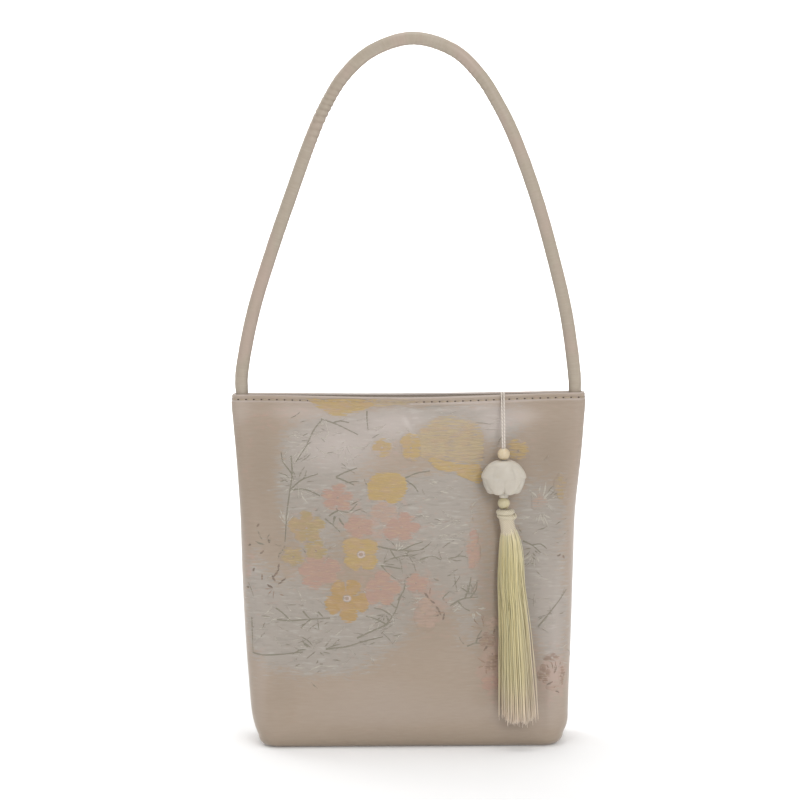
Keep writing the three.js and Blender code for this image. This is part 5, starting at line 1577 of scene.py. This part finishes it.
def strand_paths():
    """Each strand's own place in the bundle, drawn towards its lock further down, with a ripple and an end."""
    angle = spread_dice.uniform(0, 2 * math.pi, STRANDS)
    reach = np.sqrt(spread_dice.uniform(0, 1, STRANDS))
    lock = spread_dice.integers(0, LOCKS, STRANDS)
    lock_angle, lock_reach = spread_dice.uniform(0, 2 * math.pi, LOCKS), np.sqrt(spread_dice.uniform(0.1, 1, LOCKS))
    length = 1 + spread_dice.normal(0, 0.012, STRANDS) - 0.03 * (spread_dice.random(STRANDS) < 0.12)
    length += 0.018 * np.sin(lock * 2.7)
    wave = spread_dice.uniform(0, 2 * math.pi, STRANDS)
    stray = 1 + 0.12 * (spread_dice.random(STRANDS) < 0.05)
    start = spread_dice.uniform(-0.03, 0, STRANDS)
    paths = np.empty((STRANDS, STEPS, 3))
    for step in range(STEPS):
        share = step / (STEPS - 1)
        down = share * 1.01 - 0.01
        middle, wide, deep = fringe_middle(max(down, 0.0))
        pull = 0.34 * smooth_rise(np.array(down), 0.05, 0.6)
        x = (1 - pull) * reach * np.cos(angle) + pull * lock_reach[lock] * np.cos(lock_angle[lock])
        y = (1 - pull) * reach * np.sin(angle) + pull * lock_reach[lock] * np.sin(lock_angle[lock])
        size = np.hypot(x, y)
        shrink = np.minimum(1, 1.02 / np.maximum(size, 1e-6)) * stray
        ripple = 0.22 * np.sin(share * 9 + wave) * share + 0.12 * np.sin(share * 23 + 2 * wave) * share
        lean = 2.9 * (1 - smooth_rise(np.array(down), 0.0, 0.3))
        gather = 0.9 + 0.1 * float(smooth_rise(np.array(down), 0.0, 0.05))
        paths[:, step, 0] = middle[0] + lean + wide * 0.97 * gather * x * shrink + ripple
        paths[:, step, 1] = middle[1] + deep * 0.95 * gather * y * np.minimum(shrink, 1) + 0.5 * ripple
        paths[:, step, 2] = fringe_top - (down * length + start * (1 - share) ** 4) * FRINGE_LENGTH
    return paths


paths = strand_paths()
print("strands end between", paths[:, -1, 2].min().round(1), "and", paths[:, -1, 2].max().round(1), "mm")

# %% Fringe
FLOSS_RADIUS = 0.23
tones = 1 + spread_dice.normal(0, 0.07, STRANDS)
warm = spread_dice.normal(0, 0.02, STRANDS)
corner_ways = np.array([(math.cos(a), math.sin(a), 0) for a in (0.3, 2.4, 4.5)])
thin = np.ones(STEPS)
thin[-1] = 0.45
points = paths[:, :, None, :] + FLOSS_RADIUS * thin[None, :, None, None] * corner_ways[None, None]
downs = np.linspace(0, 1, STEPS)
tints = np.stack([np.interp(downs, FLOSS_DOWN, FLOSS_TINTS[:, i]) for i in range(3)], axis=1)
tints = tints[None] * tones[:, None, None] * np.stack([1 + warm, 1 + 0 * warm, 1 - warm], axis=1)[:, None]
side_share = np.clip((paths[:, :, 0] - paths[:, :, 0].mean(axis=0)) / 10, -1, 1)[:, :, None]
rosy = np.array(linear("#c6b29c")[:3])
tints = tints + np.clip(side_share - 0.25, 0, 1) * 1.1 * downs[None, :, None] * (rosy - tints)
faces = []
for strand in range(STRANDS):
    first = strand * STEPS * 3
    for step in range(STEPS - 1):
        for i in range(3):
            here, beside = first + step * 3 + i, first + step * 3 + (i + 1) % 3
            faces.append((here, here + 3, beside + 3, beside))
    faces.append((first, first + 1, first + 2))
    end = first + (STEPS - 1) * 3
    faces.append((end + 2, end + 1, end))
fringe = piece_from("tassel_strands", points.reshape(-1, 3), faces)
tints = np.repeat(np.clip(tints, 0, 1), 3, axis=1).reshape(-1, 3)
set_values(fringe, "tint", np.concatenate([tints, np.ones((len(tints), 1))], axis=1))
floss = new_material("rayon floss", Roughness=0.34, Sheen_Weight=0.3, Specular_IOR_Level=0.6)
floss_tint = stored(floss, "tint", "Color")
glints = noise(floss, mapped(floss, place_of(floss), (1500, 1500, 60)))
into_shader(floss, mixed(floss, glints, floss_tint, mixed(floss, 0.35, floss_tint, linear("#f0e9d3"))))
dress(fringe, floss, 80, "tassel_silk", "tassel_fringe")
